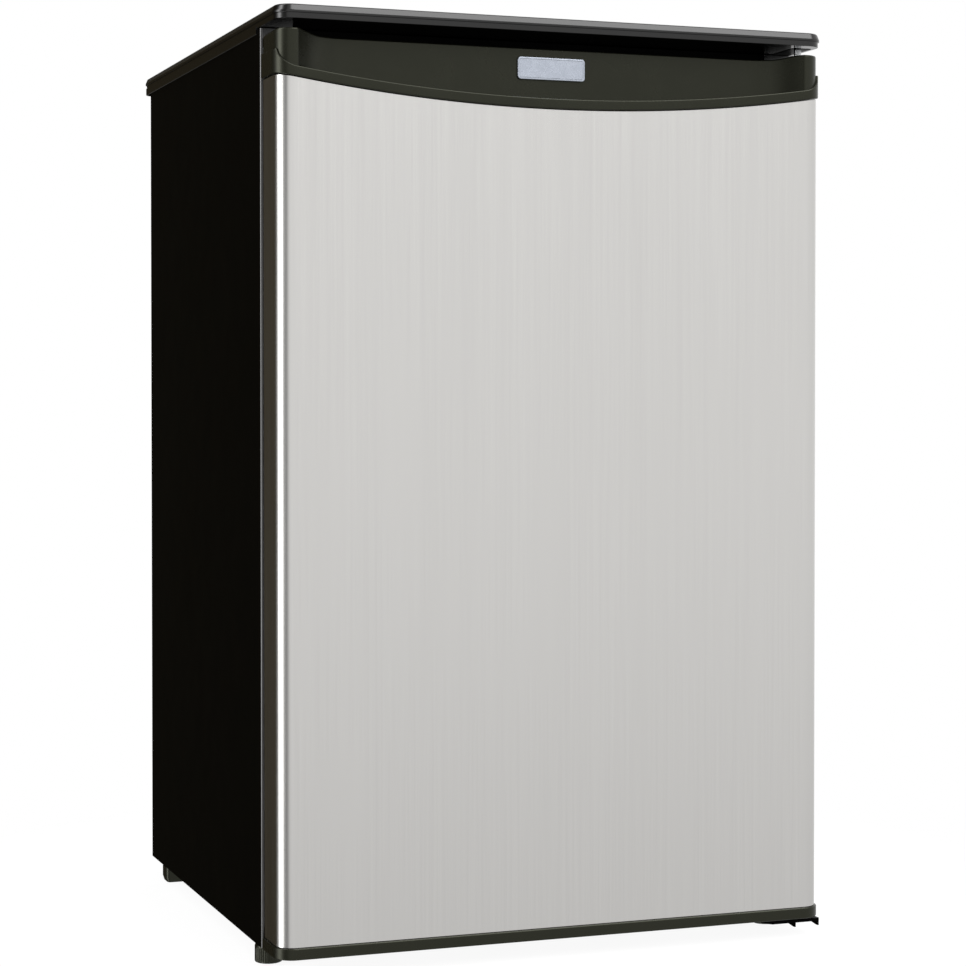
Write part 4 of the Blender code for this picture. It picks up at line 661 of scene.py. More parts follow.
def front_foot(name):
    """Levelling foot: a knurled base on a threaded stem."""
    low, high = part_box(name)
    centre = ((low.x + high.x) / 2, (low.y + high.y) / 2)
    radius = (high.x - low.x) / 2
    tall = (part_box("lower_hinge")[0].z if "right" in name else side_low.z) - GAP
    stem = 0.004
    knurl = 0.0006
    levels = ((0.0, radius - 0.0016, 0.0), (0.0005, radius - 0.0005, 0.0), (0.0014, radius, 0.0),
              (0.0022, radius, knurl), (tall - 0.0030, radius, knurl), (tall - 0.0022, radius, 0.0),
              (tall - 0.0008, radius - 0.0002, 0.0), (tall, radius - 0.0010, 0.0))
    bm = bmesh.new()
    loft(bm, [[(centre[0] + x, centre[1] + y, level) for x, y in ridged(size, cut, 36)]
              for level, size, cut in levels])
    profile = [(0.0, tall - 0.0005), (stem, tall - 0.0005), (stem, tall)]
    pitch = 0.00125
    turns = int((high.z - tall) / pitch) - 1
    for turn in range(turns):
        base = tall + 0.0004 + turn * pitch
        profile += [(stem - 0.0005, base), (stem, base + pitch / 2)]
    profile += [(stem - 0.0012, high.z), (0.0, high.z)]
    turned(bm, profile, (*centre, 0.0), steps=32)
    piece(f"{name}_moulding", bm, "foot_left" if "left" in name else "foot_right",
          "satin_black_plastic", (name,), smooth=35)


def rear_foot(name):
    """Fixed block that narrows to its sole."""
    low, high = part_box(name)
    shrink = 0.0024
    bm = bmesh.new()
    outline = plan((low.x + shrink, low.y + shrink), (high.x - shrink, high.y - shrink), low.z, 0.003)
    stack(bm, outline, bend(0.0008, -90, 0) + [(0.0045, shrink - 0.0010), (high.z - low.z - 0.0064, 0.0)]
          + bend(0.0006, 0, 90))
    piece(f"{name}_moulding", bm, "cabinet", "satin_black_plastic", (name,), smooth=35)


# ---------------------------------------------------------------- helpers for the inside and the back
def hoop(bm, rings):
    """Endless band: rings all the way round, the last one joined to the first."""
    face = bm.faces.new([bm.verts.new(point) for point in rings[0]])
    for ring in rings[1:] + rings[:1]:
        face = bmesh.ops.extrude_discrete_faces(bm, faces=[face])["faces"][0]
        for loop, point in zip(face.loops, ring):
            loop.vert.co = point
    bmesh.ops.delete(bm, geom=[face], context="FACES_ONLY")
    bmesh.ops.remove_doubles(bm, verts=bm.verts, dist=1e-6)
    bmesh.ops.recalc_face_normals(bm, faces=bm.faces)


def tub(bm, low, high, wall, corner, rim=0.0012, draft=0.0, foot=0.0022):
    """Open tray with rounded corners, a rolled rim and a rounded floor edge."""
    base, top = low[2], high[2]
    outside = [(base, draft + rim + foot), (base + foot * 0.3, draft + rim + foot * 0.3),
               (base + foot, draft + rim)]
    rolled = [(top - 0.0042, rim), (top - 0.0036, rim * 0.4), (top - 0.0030, 0.0), (top - 0.0006, 0.0),
              (top, 0.0006), (top, rim + wall - 0.0004), (top - 0.0005, rim + wall)]
    inside = [(z + wall, inset + wall) for z, inset in outside[::-1]]
    loft(bm, [plan((low[0] + inset, low[1] + inset), (high[0] - inset, high[1] - inset), z, corner)
              for z, inset in outside + rolled + inside])


def rod(bm, start, end, radius, sides=8):
    """Straight round bar between two points."""
    start, end = Vector(start), Vector(end)
    along = end - start
    place = along.to_track_quat("Z", "Y").to_matrix().to_4x4()
    place.translation = (start + end) / 2
    bmesh.ops.create_cone(bm, cap_ends=True, cap_tris=False, segments=sides, radius1=radius, radius2=radius,
                          depth=along.length, matrix=place)


def soft_profile(corners, radius, steps=3):
    """(radius, height) profile with its inner corners rounded."""
    points = [(r, 0.0, h) for r, h in corners]
    limits = [0.0]
    for index in range(1, len(points) - 1):
        here = Vector(points[index])
        before = (Vector(points[index - 1]) - here)
        after = (Vector(points[index + 1]) - here)
        turn = math.tan(before.angle(after) / 2) if before.angle(after) < 3.1 else 0.0
        limits.append(min(radius, 0.45 * min(before.length, after.length) * turn))
    made = rounded(points, limits + [0.0], steps)
    return [(max(0.0, point.x), point.z) for point in made]


# ---------------------------------------------------------------- food space
def inner_liner():
    """Moulded tub with wide fillets, a lip round its mouth and the step over the compressor."""
    fillet = 0.010
    mouth = liner_low.y - 0.03
    profile = [(mouth, CAVITY_FLOOR), (HUMP_FRONT, CAVITY_FLOOR), (HUMP_FRONT, HUMP_TOP - HUMP_CUT),
               (HUMP_FRONT + HUMP_CUT, HUMP_TOP), (CAVITY_BACK, HUMP_TOP), (CAVITY_BACK, CAVITY_TOP),
               (mouth, CAVITY_TOP)]
    bm = bmesh.new()
    loft(bm, [[(x, y, z) for y, z in profile] for x in (-CAVITY_HALF, CAVITY_HALF)])
    edges = [edge for edge in bm.edges if max(vert.co.y for vert in edge.verts) > mouth + 0.001]
    round_edges(bm, edges, fillet, 5)
    bmesh.ops.bisect_plane(bm, geom=bm.verts[:] + bm.edges[:] + bm.faces[:], dist=1e-6, clear_outer=True,
                           plane_co=(0.0, liner_low.y + 0.0012, 0.0), plane_no=(0.0, -1.0, 0.0))
    rim = [edge for edge in bm.edges if edge.is_boundary]
    spread = 0.0
    corner = 0.0025
    for rise, out in ((0.0008, 0.0004), (0.0004, 0.0008), (0.0, LIP - 0.0020), (-0.0003, 0.0005),
                      (-0.0008, 0.0003)):
        last = spread / LIP
        spread += out
        made = bmesh.ops.extrude_edge_only(bm, edges=rim)["geom"]
        verts = [item for item in made if isinstance(item, bmesh.types.BMVert)]
        rim = [item for item in made if isinstance(item, bmesh.types.BMEdge)]
        for vert in verts:
            near = Vector((max(-CAVITY_HALF + fillet, min(CAVITY_HALF - fillet, vert.co.x)), vert.co.y,
                           max(CAVITY_FLOOR + fillet, min(CAVITY_TOP - fillet, vert.co.z))))
            way = vert.co - near
            grown = fillet + LIP - corner
            aim = near + Vector((math.copysign(min(abs(way.x) * 1e3, grown), way.x), 0.0,
                                 math.copysign(min(abs(way.z) * 1e3, grown), way.z)))
            aim += way.normalized() * corner
            vert.co = vert.co.lerp(aim, (spread / LIP - last) / (1.0 - last))
            vert.co.y -= rise
        rim = [edge for edge in rim if edge.is_boundary]
    bmesh.ops.recalc_face_normals(bm, faces=bm.faces)
    back = max(bm.faces, key=lambda face: face.calc_center_median().y + face.calc_area())
    if back.normal.y > 0:
        bmesh.ops.reverse_faces(bm, faces=bm.faces)
    made = piece("liner_tub", bm, "cabinet", "white_liner", ("inner_liner",), smooth=40, even=False)
    wall = made.modifiers.new("wall", "SOLIDIFY")
    wall.thickness = 0.0012
    wall.offset = -1.0


def shelf_rails():
    """Moulded ribs on both walls that carry the shelves and the drawer's glass."""
    bm = bmesh.new()
    for side in (-1, 1):
        ends = sorted((side * (CAVITY_HALF - 0.008), side * (CAVITY_HALF + 0.0006)))
        for level in RAIL_LEVELS + [HUMP_TOP]:
            back = CAVITY_BACK + 0.0006 if level > HUMP_TOP else HUMP_FRONT + 0.018
            block(bm, (ends[0], CAB_FRONT + 0.087, level - 0.006), (ends[1], back, level), 0.0018)
    piece("liner_rails", bm, "cabinet", "white_liner", smooth=40)


def shelves():
    for name in ("glass_shelf_upper", "glass_shelf_lower", "crisper_cover"):
        softened(name, "cabinet", "shelf_glass", 0.0009, 3)
    for name in ("shelf_strip_upper", "shelf_strip_lower", "crisper_cover_strip"):
        softened(name, "cabinet", "white_plastic", 0.0006, 3)


def crisper_drawer():
    """Clear drawer with drafted walls and a lip to pull."""
    low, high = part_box("crisper_drawer")
    front = low.y + 0.010
    grip = 0.060
    bm = bmesh.new()
    tub(bm, (low.x, front, low.z), high, 0.0020, 0.010, rim=0.0014, draft=0.006, foot=0.006)
    block(bm, (-grip, low.y, high.z - 0.0125), (grip, front + 0.001, high.z - 0.0090), 0.0015)
    block(bm, (-grip, low.y, high.z - 0.0170), (grip, low.y + 0.0022, high.z - 0.0092), 0.0010)
    piece("crisper_tub", bm, "crisper", "clear_plastic", ("crisper_drawer",), smooth=40)


def thermostat():
    """Control box with its lamp lid, a ridged knob and the knob's scale marks."""
    softened("thermostat_housing", "cabinet", "white_plastic", 0.0022, 4)
    softened("lamp_cover", "cabinet", "clear_plastic", 0.0014, 4)
    low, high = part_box("thermostat_knob")
    centre_y, centre_z = (low.y + high.y) / 2, (low.z + high.z) / 2
    radius = (high.y - low.y) / 2
    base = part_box("thermostat_housing")[0].x
    groove = 0.0007
    levels = ((0.0003, radius - 0.0004, 0.0), (0.0007, radius, 0.0), (0.0030, radius, 0.0),
              (0.0036, radius - 0.0006, groove), (0.0122, radius - 0.0026, groove),
              (0.0134, radius - 0.0034, 0.0002), (0.0140, radius - 0.0048, 0.0))
    bm = bmesh.new()
    loft(bm, [[(base - out, centre_y + y, centre_z + z) for y, z in ridged(size, cut, 28)]
              for out, size, cut in levels])
    block(bm, (low.x, centre_y - 0.0014, centre_z - 0.002),
          (base - 0.0125, centre_y + 0.0014, centre_z + radius - 0.0056), 0.0006)
    piece("knob_moulding", bm, "knob", "white_plastic", ("thermostat_knob",), smooth=35)
    bm = bmesh.new()
    for mark in range(10):
        turn = math.radians(90 - 30 * mark)
        out = Vector((0.0, math.cos(turn), math.sin(turn)))
        middle = Vector((base - 0.0001, centre_y, centre_z)) + out * (radius + 0.0032)
        length = 0.0016 if mark % 3 == 0 else 0.0010
        rod(bm, middle - out * length, middle + out * length, 0.0003, 6)
    piece("scale_marks", bm, "cabinet", "satin_black_plastic")


def lamp():
    """Small bulb with a threaded metal cap."""
    low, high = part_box("lamp")
    bulb = (high.x - low.x) / 2
    place = ((low.x + high.x) / 2, low.y, (low.z + high.z) / 2)
    length = high.y - low.y
    bm = bmesh.new()
    shape = [(0.0, 0.0), (bulb * 0.42, 0.0008), (bulb * 0.74, 0.0034), (bulb * 0.94, 0.0080),
             (bulb, 0.0140), (bulb * 0.96, 0.0195), (bulb * 0.82, 0.0255), (bulb * 0.64, 0.0305),
             (bulb * 0.55, 0.0350), (0.0, 0.0350)]
    turned(bm, shape, place, "Y", 40)
    piece("lamp_bulb", bm, "cabinet", "lamp_glass", ("lamp",), smooth=50)
    bm = bmesh.new()
    shape = [(0.0, 0.0346), (bulb * 0.60, 0.0346)]
    for thread in range(5):
        shape += [(bulb * 0.60, 0.0352 + 0.0018 * thread), (bulb * 0.54, 0.0361 + 0.0018 * thread)]
    shape += [(bulb * 0.60, 0.0445), (bulb * 0.34, length - 0.0004), (0.0, length)]
    turned(bm, shape, place, "Y", 32)
    piece("lamp_cap", bm, "cabinet", "zinc", smooth=40)


def switch_button():
    """Domed plunger that the door pushes in."""
    low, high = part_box("switch_plunger")
    radius = (high.x - low.x) / 2
    long = high.y - low.y
    bm = bmesh.new()
    shape = [(0.0, 0.0), (radius * 0.55, 0.0003), (radius * 0.85, 0.0010), (radius, 0.0022),
             (radius, long - 0.0003), (0.0, long)]
    turned(bm, shape, ((low.x + high.x) / 2, low.y, (low.z + high.z) / 2), "Y", 32)
    piece("switch_button", bm, "plunger", "white_plastic", ("switch_plunger",), smooth=50)


# ---------------------------------------------------------------- inside of the door
def dyke_ring(inset, y, radius):
    """Outline of the raised frame at depth y, drawn in by inset."""
    half = DYKE_HALF - inset
    return wall_plan((-half, DYKE_LOW + inset), (half, DYKE_HIGH - inset), y, radius)


def door_liner():
    """Moulded inner panel with a drafted raised frame, rounded in plan, and lugs for the bins."""
    low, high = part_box("door_liner")
    plate = low.y + LINER
    rings = [wall_plan((low.x + inset, low.z + inset), (high.x - inset, high.z - inset), y, 0.006)
             for inset, y in ((0.0, low.y), (0.0, plate - 0.0007), (0.0002, plate - 0.0002), (0.0007, plate))]
    rising = ((-0.0050, 0.0, 0.024), (-0.0026, 0.0006, 0.022), (-0.0010, 0.0020, 0.020),
              (-0.0004, 0.0050, 0.019))
    crown = ((0.0016, 0.0040, 0.017), (0.0021, 0.0018, 0.017), (0.0032, 0.0005, 0.016), (0.0050, 0.0, 0.015),
             (0.0128, 0.0, 0.009), (0.0146, 0.0005, 0.0075), (0.0157, 0.0018, 0.0068),
             (0.0160, 0.0040, 0.0065))
    falling = ((0.0162, 0.0016, 0.0064), (0.0165, 0.0004, 0.0062), (0.0171, 0.0, 0.0058))
    rings += [dyke_ring(inset, plate + rise, radius) for inset, rise, radius in rising]
    rings += [dyke_ring(inset, high.y - drop, radius) for inset, drop, radius in crown]
    rings += [dyke_ring(inset, plate + rise, radius) for inset, rise, radius in falling]
    bm = bmesh.new()
    loft(bm, rings)
    for name in ("door_bin_upper", "door_bin_middle", "bottle_bin"):
        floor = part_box(name)[0].z - GAP
        for side in (-1, 1):
            ends = sorted((side * 0.1835, side * 0.1885))
            block(bm, (ends[0], plate + 0.008, floor - 0.007), (ends[1], high.y - 0.015, floor), 0.0012)
    piece("door_liner_panel", bm, "door", "white_liner", ("door_liner",), smooth=40)


def door_gasket():
    """Bellows seal: a foot on the liner, a pleat and a flat magnet box, mitred round."""
    low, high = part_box("door_gasket")
    width = 0.015
    inner = 0.006
    path = wall_plan((low.x + width, low.z + width), (high.x - width, high.z - width), 0.0, inner, steps=8)
    section = [(0.0022, low.y), (0.0128, low.y), (0.0128, low.y + 0.0012), (0.0104, low.y + 0.0024),
               (0.0143, low.y + 0.0044), (width, low.y + 0.0054), (width, high.y - 0.0008),
               (0.0142, high.y), (0.0085, high.y), (0.0075, high.y - 0.0005), (0.0065, high.y),
               (0.0008, high.y), (0.0, high.y - 0.0008), (0.0, low.y + 0.0054), (0.0007, low.y + 0.0044),
               (0.0046, low.y + 0.0024), (0.0022, low.y + 0.0012)]
    rings = []
    for point in path:
        near_x = max(low.x + width + inner, min(high.x - width - inner, point.x))
        near_z = max(low.z + width + inner, min(high.z - width - inner, point.z))
        out = Vector((point.x - near_x, 0.0, point.z - near_z)).normalized()
        rings.append([(point.x + out.x * reach, y, point.z + out.z * reach) for reach, y in section])
    bm = bmesh.new()
    hoop(bm, rings)
    piece("door_seal", bm, "door", "gasket_rubber", ("door_gasket",), smooth=35)


def door_bins():
    """Clear racks: thin-walled tubs with a rolled rim and a ribbed front."""
    for name in ("door_bin_upper", "door_bin_middle", "bottle_bin"):
        low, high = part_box(name)
        bm = bmesh.new()
        tub(bm, low, high, 0.0018, 0.009, rim=0.0010, draft=0.0008, foot=0.003)
        ribs = 9
        for rib in range(1, ribs):
            x = low.x + (high.x - low.x) * rib / ribs
            block(bm, (x - 0.0008, high.y - 0.0022, low.z + 0.006),
                  (x + 0.0008, high.y - 0.0006, high.z - 0.006), 0.0005, 2)
        piece(f"{name}_tub", bm, "door", "clear_plastic", (name,), smooth=40)


# ---------------------------------------------------------------- cooling and the back
def compressor():
    """Sealed pot: two drawn halves with a welded seam, a leg plate and its process stub."""
    low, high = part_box("compressor")
    base = low.z + 0.0035
    shell = 0.065
    seam = shell + 0.0045
    tall = high.z - base
    corners = [(0.0, 0.0), (shell - 0.022, 0.0), (shell - 0.007, 0.008), (shell, 0.026), (shell, 0.0540),
               (seam, 0.0545), (seam, 0.0585), (shell, 0.0590), (shell - 0.001, 0.086),
               (shell - 0.012, tall - 0.016), (shell - 0.030, tall - 0.003), (0.0, tall)]
    bm = bmesh.new()
    turned(bm, soft_profile(corners, 0.016, 5), (*POT_CENTRE, base), steps=72)
    block(bm, (low.x, low.y, low.z), (high.x, high.y, low.z + 0.004), 0.0008, 2)
    rod(bm, (POT_CENTRE[0] - 0.030, POT_CENTRE[1] + 0.030, base + 0.088),
        (POT_CENTRE[0] - 0.044, POT_CENTRE[1] + 0.044, base + 0.091), 0.003, 16)
    piece("compressor_pot", bm, "cabinet", "compressor_paint", ("compressor",), smooth=40)
    for name in ("grommet_1", "grommet_2", "grommet_3", "grommet_4"):
        grommet(name, low.z)
    softened("compressor_mount", "cabinet", "black_paint", 0.0004, 2)
    softened("terminal_cover", "cabinet", "satin_black_plastic", 0.0035, 4)


def grommet(name, leg_plate):
    """Rubber bush whose waist holds the compressor's leg plate."""
    low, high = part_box(name)
    wide = (high.x - low.x) / 2
    tall = high.z - low.z
    waist = leg_plate - low.z
    bore = 0.0046
    neck = 0.0064
    shape = [(bore, 0.0), (wide, 0.0), (wide, waist - GAP), (neck, waist - GAP), (neck, waist + 0.0043),
             (0.0090, waist + 0.0043), (0.0080, tall), (bore, tall)]
    bm = bmesh.new()
    turned(bm, shape, ((low.x + high.x) / 2, (low.y + high.y) / 2, low.z), steps=32)
    round_edges(bm, sharp_edges(bm, RUBBER_EDGE), 0.0006, 2)
    piece(f"{name}_rubber", bm, "cabinet", "black_rubber", (name,), smooth=40)


def drip_tray():
    """Shallow pan for the melt water and the drain pipe that leads down to it."""
    low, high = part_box("drip_tray")
    bm = bmesh.new()
    tub(bm, low, high, 0.0015, 0.008, rim=0.0014, draft=0.003, foot=0.003)
    piece("drip_pan", bm, "cabinet", "satin_black_plastic", ("drip_tray",), smooth=40)
    low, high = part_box("drain_tube")
    radius = (high.x - low.x) / 2
    tall = high.z - low.z
    flange = high.z - HUMP_TOP
    bore, pipe = radius - 0.0052, radius - 0.0040
    shape = [(bore, tall), (bore, 0.0), (pipe, 0.0), (pipe, tall - flange), (radius, tall - flange),
             (radius, tall)]
    bm = bmesh.new()
    turned(bm, shape, ((low.x + high.x) / 2, (low.y + high.y) / 2, low.z), steps=40)
    piece("drain_pipe", bm, "cabinet", "white_plastic", ("drain_tube",), smooth=40)


def cable_gland():
    """Rubber bush in the floor sheet's rear wall, with a groove that grips the sheet."""
    low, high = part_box("cable_gland")
    radius = (high.x - low.x) / 2
    bore = radius - 0.006
    neck = radius - 0.003
    middle = high.y - 0.0045
    groove = 0.00105
    shape = [(bore, low.y - middle), (radius, low.y - middle), (radius, -groove), (neck, -groove),
             (neck, groove), (radius, groove), (radius, high.y - middle), (bore, high.y - middle)]
    bm = bmesh.new()
    turned(bm, shape, ((low.x + high.x) / 2, middle, (low.z + high.z) / 2), "Y", 40)
    round_edges(bm, sharp_edges(bm, RUBBER_EDGE), 0.0006, 2)
    piece("cable_gland_rubber", bm, "cabinet", "black_rubber", ("cable_gland",), smooth=40)


def condenser():
    """Wire-on-tube condenser on two spacers; its pipe runs down into the drier."""
    low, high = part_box("condenser_tube")
    half = high.x - PIPE
    depth = high.y - PIPE
    lowest = 0.262
    rows = 9
    pitch = (high.z - PIPE - lowest) / (rows - 1)
    drier_low, drier_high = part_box("filter_drier")
    drier = ((drier_low.x + drier_high.x) / 2, (drier_low.y + drier_high.y) / 2)
    corners = []
    side = 1
    for row in reversed(range(rows)):
        level = lowest + row * pitch
        corners += [(side * half, depth, level), (-side * half, depth, level)]
        side = -side
    below = drier_high.z + 0.014
    corners += [(-half, depth, below), (-half, drier[1], below), (*drier, drier_high.z + GAP)]
    tube("condenser_pipe", route(corners, 0.0119, 6), PIPE, "cabinet", "black_paint", ("condenser_tube",))
    low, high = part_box("condenser_wires")
    wire = (high.y - low.y) / 2
    count = 33
    bm = bmesh.new()
    for index in range(count):
        x = low.x + wire + (high.x - low.x - 2 * wire) * index / (count - 1)
        for y in (high.y - wire, depth - PIPE - wire):
            rod(bm, (x, y, low.z), (x, y, high.z), wire)
    piece("condenser_grid", bm, "cabinet", "black_paint", ("condenser_wires",), smooth=60)
    for name in ("condenser_spacer_left", "condenser_spacer_right"):
        softened(name, "cabinet", "black_paint", 0.0008, 2)
    long = drier_high.z - drier_low.z
    inlet, outlet, body = 0.0022, 0.003, 0.008
    corners = [(0.0, 0.0), (inlet, 0.0), (inlet, 0.010), (body, 0.020), (body, long - 0.020),
               (outlet, long - 0.010), (outlet, long), (0.0, long)]
    bm = bmesh.new()
    turned(bm, soft_profile(corners, 0.006, 4), (*drier, drier_low.z), steps=40)
    piece("drier_capsule", bm, "cabinet", "copper", ("filter_drier",), smooth=50)


def cooling_pipes():
    """Discharge pipe from the pot up to the condenser, and suction pipe back from the evaporator."""
    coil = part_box("condenser_tube")[1]
    depth = coil.y - PIPE
    low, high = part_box("discharge_tube")
    pot_y = POT_CENTRE[1]
    riser, base, top = high.x - PIPE, low.z + PIPE, high.z - PIPE
    corners = [(0.1255, pot_y, base), (riser, pot_y, base), (riser, depth, base), (riser, depth, top),
               (coil.x - PIPE + GAP, depth, top)]
    tube("discharge_pipe", route(corners, 0.012), PIPE, "cabinet", "copper", ("discharge_tube",))
    low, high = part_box("suction_tube")
    small = 0.003
    bay, inlet = 0.228, 0.2090
    riser, base, top = high.x - small, low.z + small, high.z - small
    corners = [(low.x, pot_y, base), (riser, pot_y, base), (riser, bay, base), (riser, bay, top),
               (riser, inlet, top)]
    tube("suction_pipe", route(corners, 0.010), small, "cabinet", "copper", ("suction_tube",))


def hinges():
    """Hinge plates with their pins, the screws that hold them and the bushings in the door."""
    softened("upper_hinge", "cabinet", "black_paint", 0.0005, 2)
    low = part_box("upper_hinge")[0]
    place = frame["joints"][0]["pos_m"]
    tall = cover_high.z - 0.0128 - low.z
    bm = bmesh.new()
    turned(bm, [(0.0, 0.0), (0.0022, 0.0), (0.0034, 0.0012), (0.0034, tall), (0.0, tall)],
           (place[0], place[1], low.z), steps=32)
    piece("upper_hinge_pin", bm, "cabinet", "zinc", smooth=40)
    softened("lower_hinge", "cabinet", "black_paint", 0.0005, 2)
    softened("upper_bushing", "door", "white_plastic", 0.0004, 2)
    softened("lower_bushing", "door", "white_plastic", 0.0004, 2)
    for name in ("lower_hinge_screw_1", "lower_hinge_screw_2", "upper_hinge_screw_1", "upper_hinge_screw_2"):
        low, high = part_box(name)
        up = 1 if "lower" in name else -1
        head = low.z if up > 0 else high.z
        wide = (high.x - low.x) / 2
        long = high.z - low.z
        shape = [(0.0, 0.0006), (0.0012, 0.0003), (0.0016, 0.0), (wide - 0.0016, 0.0002),
                 (wide - 0.0005, 0.0010), (wide, 0.0020), (wide, 0.0025), (0.0019, 0.0025)]
        threads = int((long - 0.004) / 0.0011)
        for thread in range(threads):
            shape += [(0.0015, 0.0030 + 0.0011 * thread), (0.0019, 0.0035 + 0.0011 * thread)]
        shape += [(0.0008, long), (0.0, long)]
        bm = bmesh.new()
        turned(bm, [(radius, up * height) for radius, height in shape],
               ((low.x + high.x) / 2, (low.y + high.y) / 2, head), steps=28)
        piece(f"{name}_metal", bm, "cabinet", "zinc", (name,), smooth=35)


def shell_panels():
    """Sheets of the cabinet's top, back and floor, and the rivets of the back sheet."""
    # the top panel takes the darker black paint: painted shade on its flange behind the door
    softened("top_panel", "cabinet", "black_paint", 0.0003, 2)
    for name in ("back_panel", "base_panel"):
        softened(name, "cabinet", "frame_paint", 0.0003, 2)
    low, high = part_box("back_panel")
    bm = bmesh.new()
    inward, lowest, pitch = 0.010, 0.020, 0.116
    head = 0.0036
    shape = [(0.0, -0.0004), (head, -0.0004), (head, 0.0002), (0.0028, 0.0010), (0.0012, 0.0014),
             (0.0, 0.0015)]
    for side in (-1, 1):
        for row in range(6):
            turned(bm, shape, (side * (high.x - inward), high.y, low.z + lowest + pitch * row), "Y", 20)
    piece("back_rivets", bm, "cabinet", "zinc", smooth=40)


def hidden_foam():
    """Foam and evaporator plate, all walled in; the door's foam is one rounded core behind its liner."""
    for name, finish in (("insulation", "foam"), ("evaporator_plate", "bare_aluminium")):
        mesh = frame["nodes"][name].data
        for index in range(len(mesh.materials)):
            mesh.materials[index] = FINISHES[finish]
    low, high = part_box("door_foam")
    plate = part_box("door_liner")[0].y
    rings = [wall_plan((low.x + inset, low.z), (high.x - inset, ARC_LOW - 0.001), y, 0.006)
             for inset, y in ((0.014, low.y + 0.001), (0.004, low.y + 0.006), (0.001, low.y + 0.014),
                              (0.001, plate - 0.0020), (0.012, plate - 0.0012))]
    for inset, y, radius in ((0.004, plate - 0.0010, 0.016), (0.004, high.y - 0.004, 0.016),
                             (0.006, high.y - 0.002, 0.014), (0.011, high.y - 0.002, 0.010),
                             (0.013, high.y - 0.004, 0.008), (0.013, plate - 0.0008, 0.008)):
        rings.append(dyke_ring(inset, y, radius))
    bm = bmesh.new()
    loft(bm, rings)
    piece("door_foam_core", bm, "door", "foam", ("door_foam",), smooth=40)


# ---------------------------------------------------------------- stage
CAMERA_PLACE = (-0.7986, -2.2592, 0.5050)
CAMERA_TURN = (math.radians(89.01), 0.0, math.radians(-19.98))
CAMERA_LENS = 89.5
CAMERA_SHIFT = -0.0482
SOFTBOX_ABOVE = (0.30, -0.62, 0.72)     # towards the middle of the soft box overhead
STRONGEST = 7.0                         # light of a full share in the studio's colours


def camera():
    eye = bpy.data.cameras.new("camera")
    eye.lens = CAMERA_LENS
    eye.sensor_width = 36.0
    eye.shift_y = CAMERA_SHIFT
    made = bpy.data.objects.new("camera", eye)
    made.location = CAMERA_PLACE
    made.rotation_euler = CAMERA_TURN
    bpy.context.collection.objects.link(made)
    bpy.context.scene.camera = made


def floor():
    """Pale disc that fades out into the backdrop."""
    bm = bmesh.new()
    bmesh.ops.create_circle(bm, cap_ends=True, cap_tris=False, segments=96, radius=1.6)
    mesh = bpy.data.meshes.new("floor")
    bm.to_mesh(mesh)
    bm.free()
    made, tree, shader = new_finish("pale_floor", (0.09, 0.09, 0.09), 0.75, Specular_IOR_Level=0.05,
                                     Emission_Color=(1.0, 1.0, 1.0, 1.0), Emission_Strength=0.93)
    place = tree.nodes.new("ShaderNodeTexCoord")
    length = tree.nodes.new("ShaderNodeVectorMath")
    length.operation = "LENGTH"
    fade = tree.nodes.new("ShaderNodeMapRange")
    fade.interpolation_type = "SMOOTHSTEP"
    fade.inputs["From Min"].default_value = 0.36
    fade.inputs["From Max"].default_value = 0.66
    fade.inputs["To Min"].default_value = 1.0
    fade.inputs["To Max"].default_value = 0.0
    tree.links.new(place.outputs["Object"], length.inputs[0])
    tree.links.new(length.outputs["Value"], fade.inputs["Value"])
    tree.links.new(fade.outputs["Result"], shader.inputs["Alpha"])
    mesh.materials.append(made)
    disc = bpy.data.objects.new("floor", mesh)
    bpy.context.collection.objects.link(disc)
    disc.visible_glossy = False


def ring_of_light(tree, place):
    """Light round the horizon as a share of STRONGEST: soft boxes in front and a black flag at the left."""
    around = tree.nodes.new("ShaderNodeTexGradient")
    around.gradient_type = "RADIAL"
    ramp = tree.nodes.new("ShaderNodeValToRGB")
    tree.links.new(place, around.inputs["Vector"])
    tree.links.new(around.outputs["Fac"], ramp.inputs["Fac"])
    # compass bearing of each stop, clockwise from straight behind the fridge, and its brightness
    bearings = [(356, 0.04), (340, 0.04), (312, 0.04), (298, 0.22), (288, 1.20), (276, 5.20), (266, 6.20),
                (258, 2.60), (248, 0.50), (226, 0.26), (217, 0.80), (205, 1.04), (160, 1.00), (90, 0.95),
                (20, 0.95), (8, 0.45)]
    stops = sorted((((90 - bearing) / 360 + 0.5) % 1.0, light / STRONGEST) for bearing, light in bearings)
    elements = ramp.color_ramp.elements
    for index, (where, level) in enumerate(stops):
        stop = elements[index] if index < 2 else elements.new(where)
        stop.position = where
        warm = level * STRONGEST < 0.1
        stop.color = (level, level * (0.80 if warm else 1.0), level * (0.45 if warm else 1.0), 1.0)
    return ramp.outputs["Color"]


def dimmed_below(tree, place, colour):
    """The same light, a little weaker under the horizon."""
    height = tree.nodes.new("ShaderNodeSeparateXYZ")
    lower = tree.nodes.new("ShaderNodeMapRange")
    lower.inputs["From Min"].default_value = -0.26
    lower.inputs["From Max"].default_value = -0.04
    lower.inputs["To Min"].default_value = 0.76
    lower.inputs["To Max"].default_value = 1.0
    dimmed = tree.nodes.new("ShaderNodeVectorMath")
    dimmed.operation = "SCALE"
    tree.links.new(place, height.inputs["Vector"])
    tree.links.new(height.outputs["Z"], lower.inputs["Value"])
    tree.links.new(colour, dimmed.inputs[0])
    tree.links.new(lower.outputs["Result"], dimmed.inputs["Scale"])
    return dimmed.outputs["Vector"]


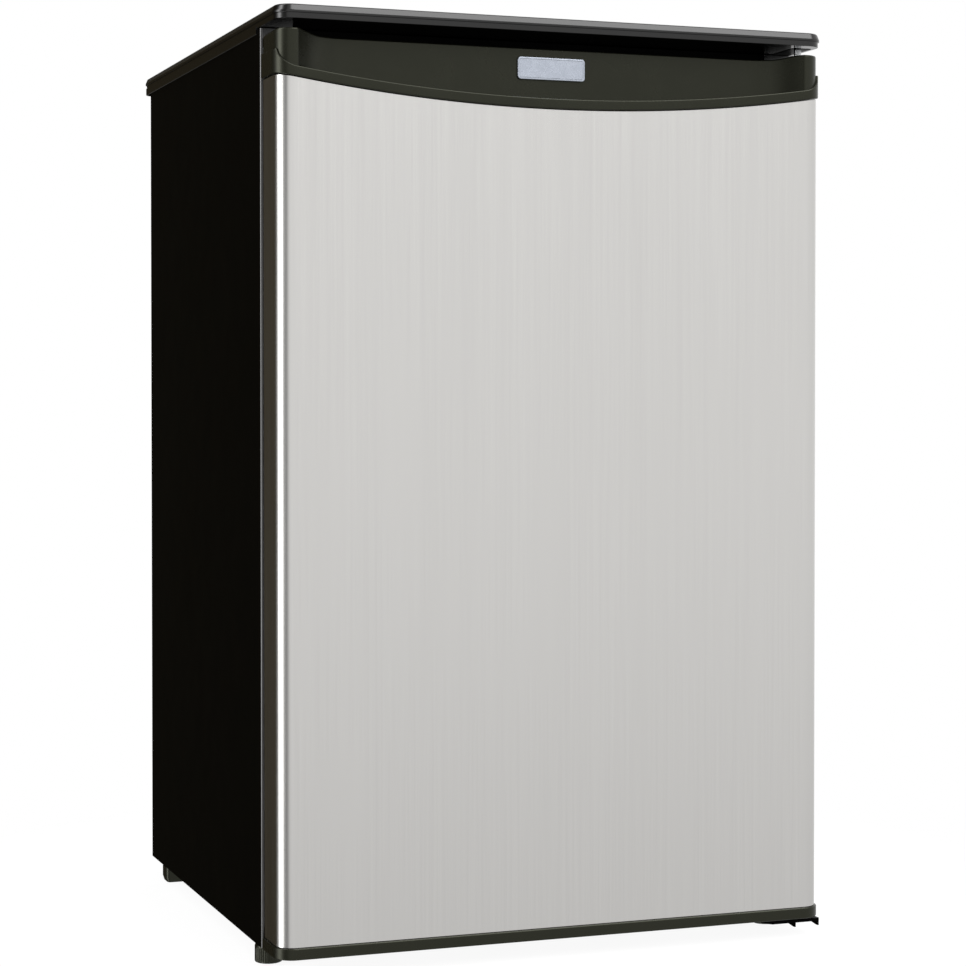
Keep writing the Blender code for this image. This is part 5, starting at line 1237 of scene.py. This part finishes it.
def with_soft_box(tree, place, colour):
    """The same light, with the round soft box above and in front of the fridge."""
    towards = tree.nodes.new("ShaderNodeVectorMath")
    towards.operation = "DOT_PRODUCT"
    towards.inputs[1].default_value = SOFTBOX_ABOVE
    above = tree.nodes.new("ShaderNodeMapRange")
    above.interpolation_type = "SMOOTHSTEP"
    above.inputs["From Min"].default_value = 0.86
    above.inputs["From Max"].default_value = 0.95
    overhead = tree.nodes.new("ShaderNodeMix")
    overhead.data_type = "RGBA"
    overhead.inputs["B"].default_value = (0.80, 0.80, 0.80, 1.0)
    tree.links.new(place, towards.inputs[0])
    tree.links.new(towards.outputs["Value"], above.inputs["Value"])
    tree.links.new(above.outputs["Result"], overhead.inputs["Factor"])
    tree.links.new(colour, overhead.inputs["A"])
    return overhead.outputs["Result"]


def studio():
    """Soft boxes that light the fridge, before a plain white backdrop that only the camera sees."""
    world = bpy.data.worlds.new("studio")
    world.use_nodes = True
    tree = world.node_tree
    tree.nodes.clear()
    place = tree.nodes.new("ShaderNodeTexCoord").outputs["Generated"]
    colour = with_soft_box(tree, place, dimmed_below(tree, place, ring_of_light(tree, place)))
    lit = tree.nodes.new("ShaderNodeBackground")
    lit.inputs["Strength"].default_value = STRONGEST
    tree.links.new(colour, lit.inputs["Color"])
    backdrop = tree.nodes.new("ShaderNodeBackground")
    backdrop.inputs["Color"].default_value = (1.0, 1.0, 1.0, 1.0)
    path = tree.nodes.new("ShaderNodeLightPath")
    choose = tree.nodes.new("ShaderNodeMixShader")
    out = tree.nodes.new("ShaderNodeOutputWorld")
    tree.links.new(path.outputs["Is Camera Ray"], choose.inputs["Fac"])
    tree.links.new(lit.outputs["Background"], choose.inputs[1])
    tree.links.new(backdrop.outputs["Background"], choose.inputs[2])
    tree.links.new(choose.outputs["Shader"], out.inputs["Surface"])
    bpy.context.scene.world = world
    bpy.context.scene.view_settings.view_transform = "Standard"


# ---------------------------------------------------------------- assembly
camera()
floor()
studio()
door_skin()
door_top_cap()
door_bottom_cap()
badge()
top_cover()
side_panel("side_panel_left", -1)
side_panel("side_panel_right", 1)
for foot in ("front_foot_left", "front_foot_right"):
    front_foot(foot)
for foot in ("rear_foot_left", "rear_foot_right"):
    rear_foot(foot)
inner_liner()
shelf_rails()
shelves()
crisper_drawer()
thermostat()
lamp()
switch_button()
door_liner()
door_gasket()
door_bins()
compressor()
drip_tray()
cable_gland()
condenser()
cooling_pipes()
hinges()
shell_panels()
hidden_foam()
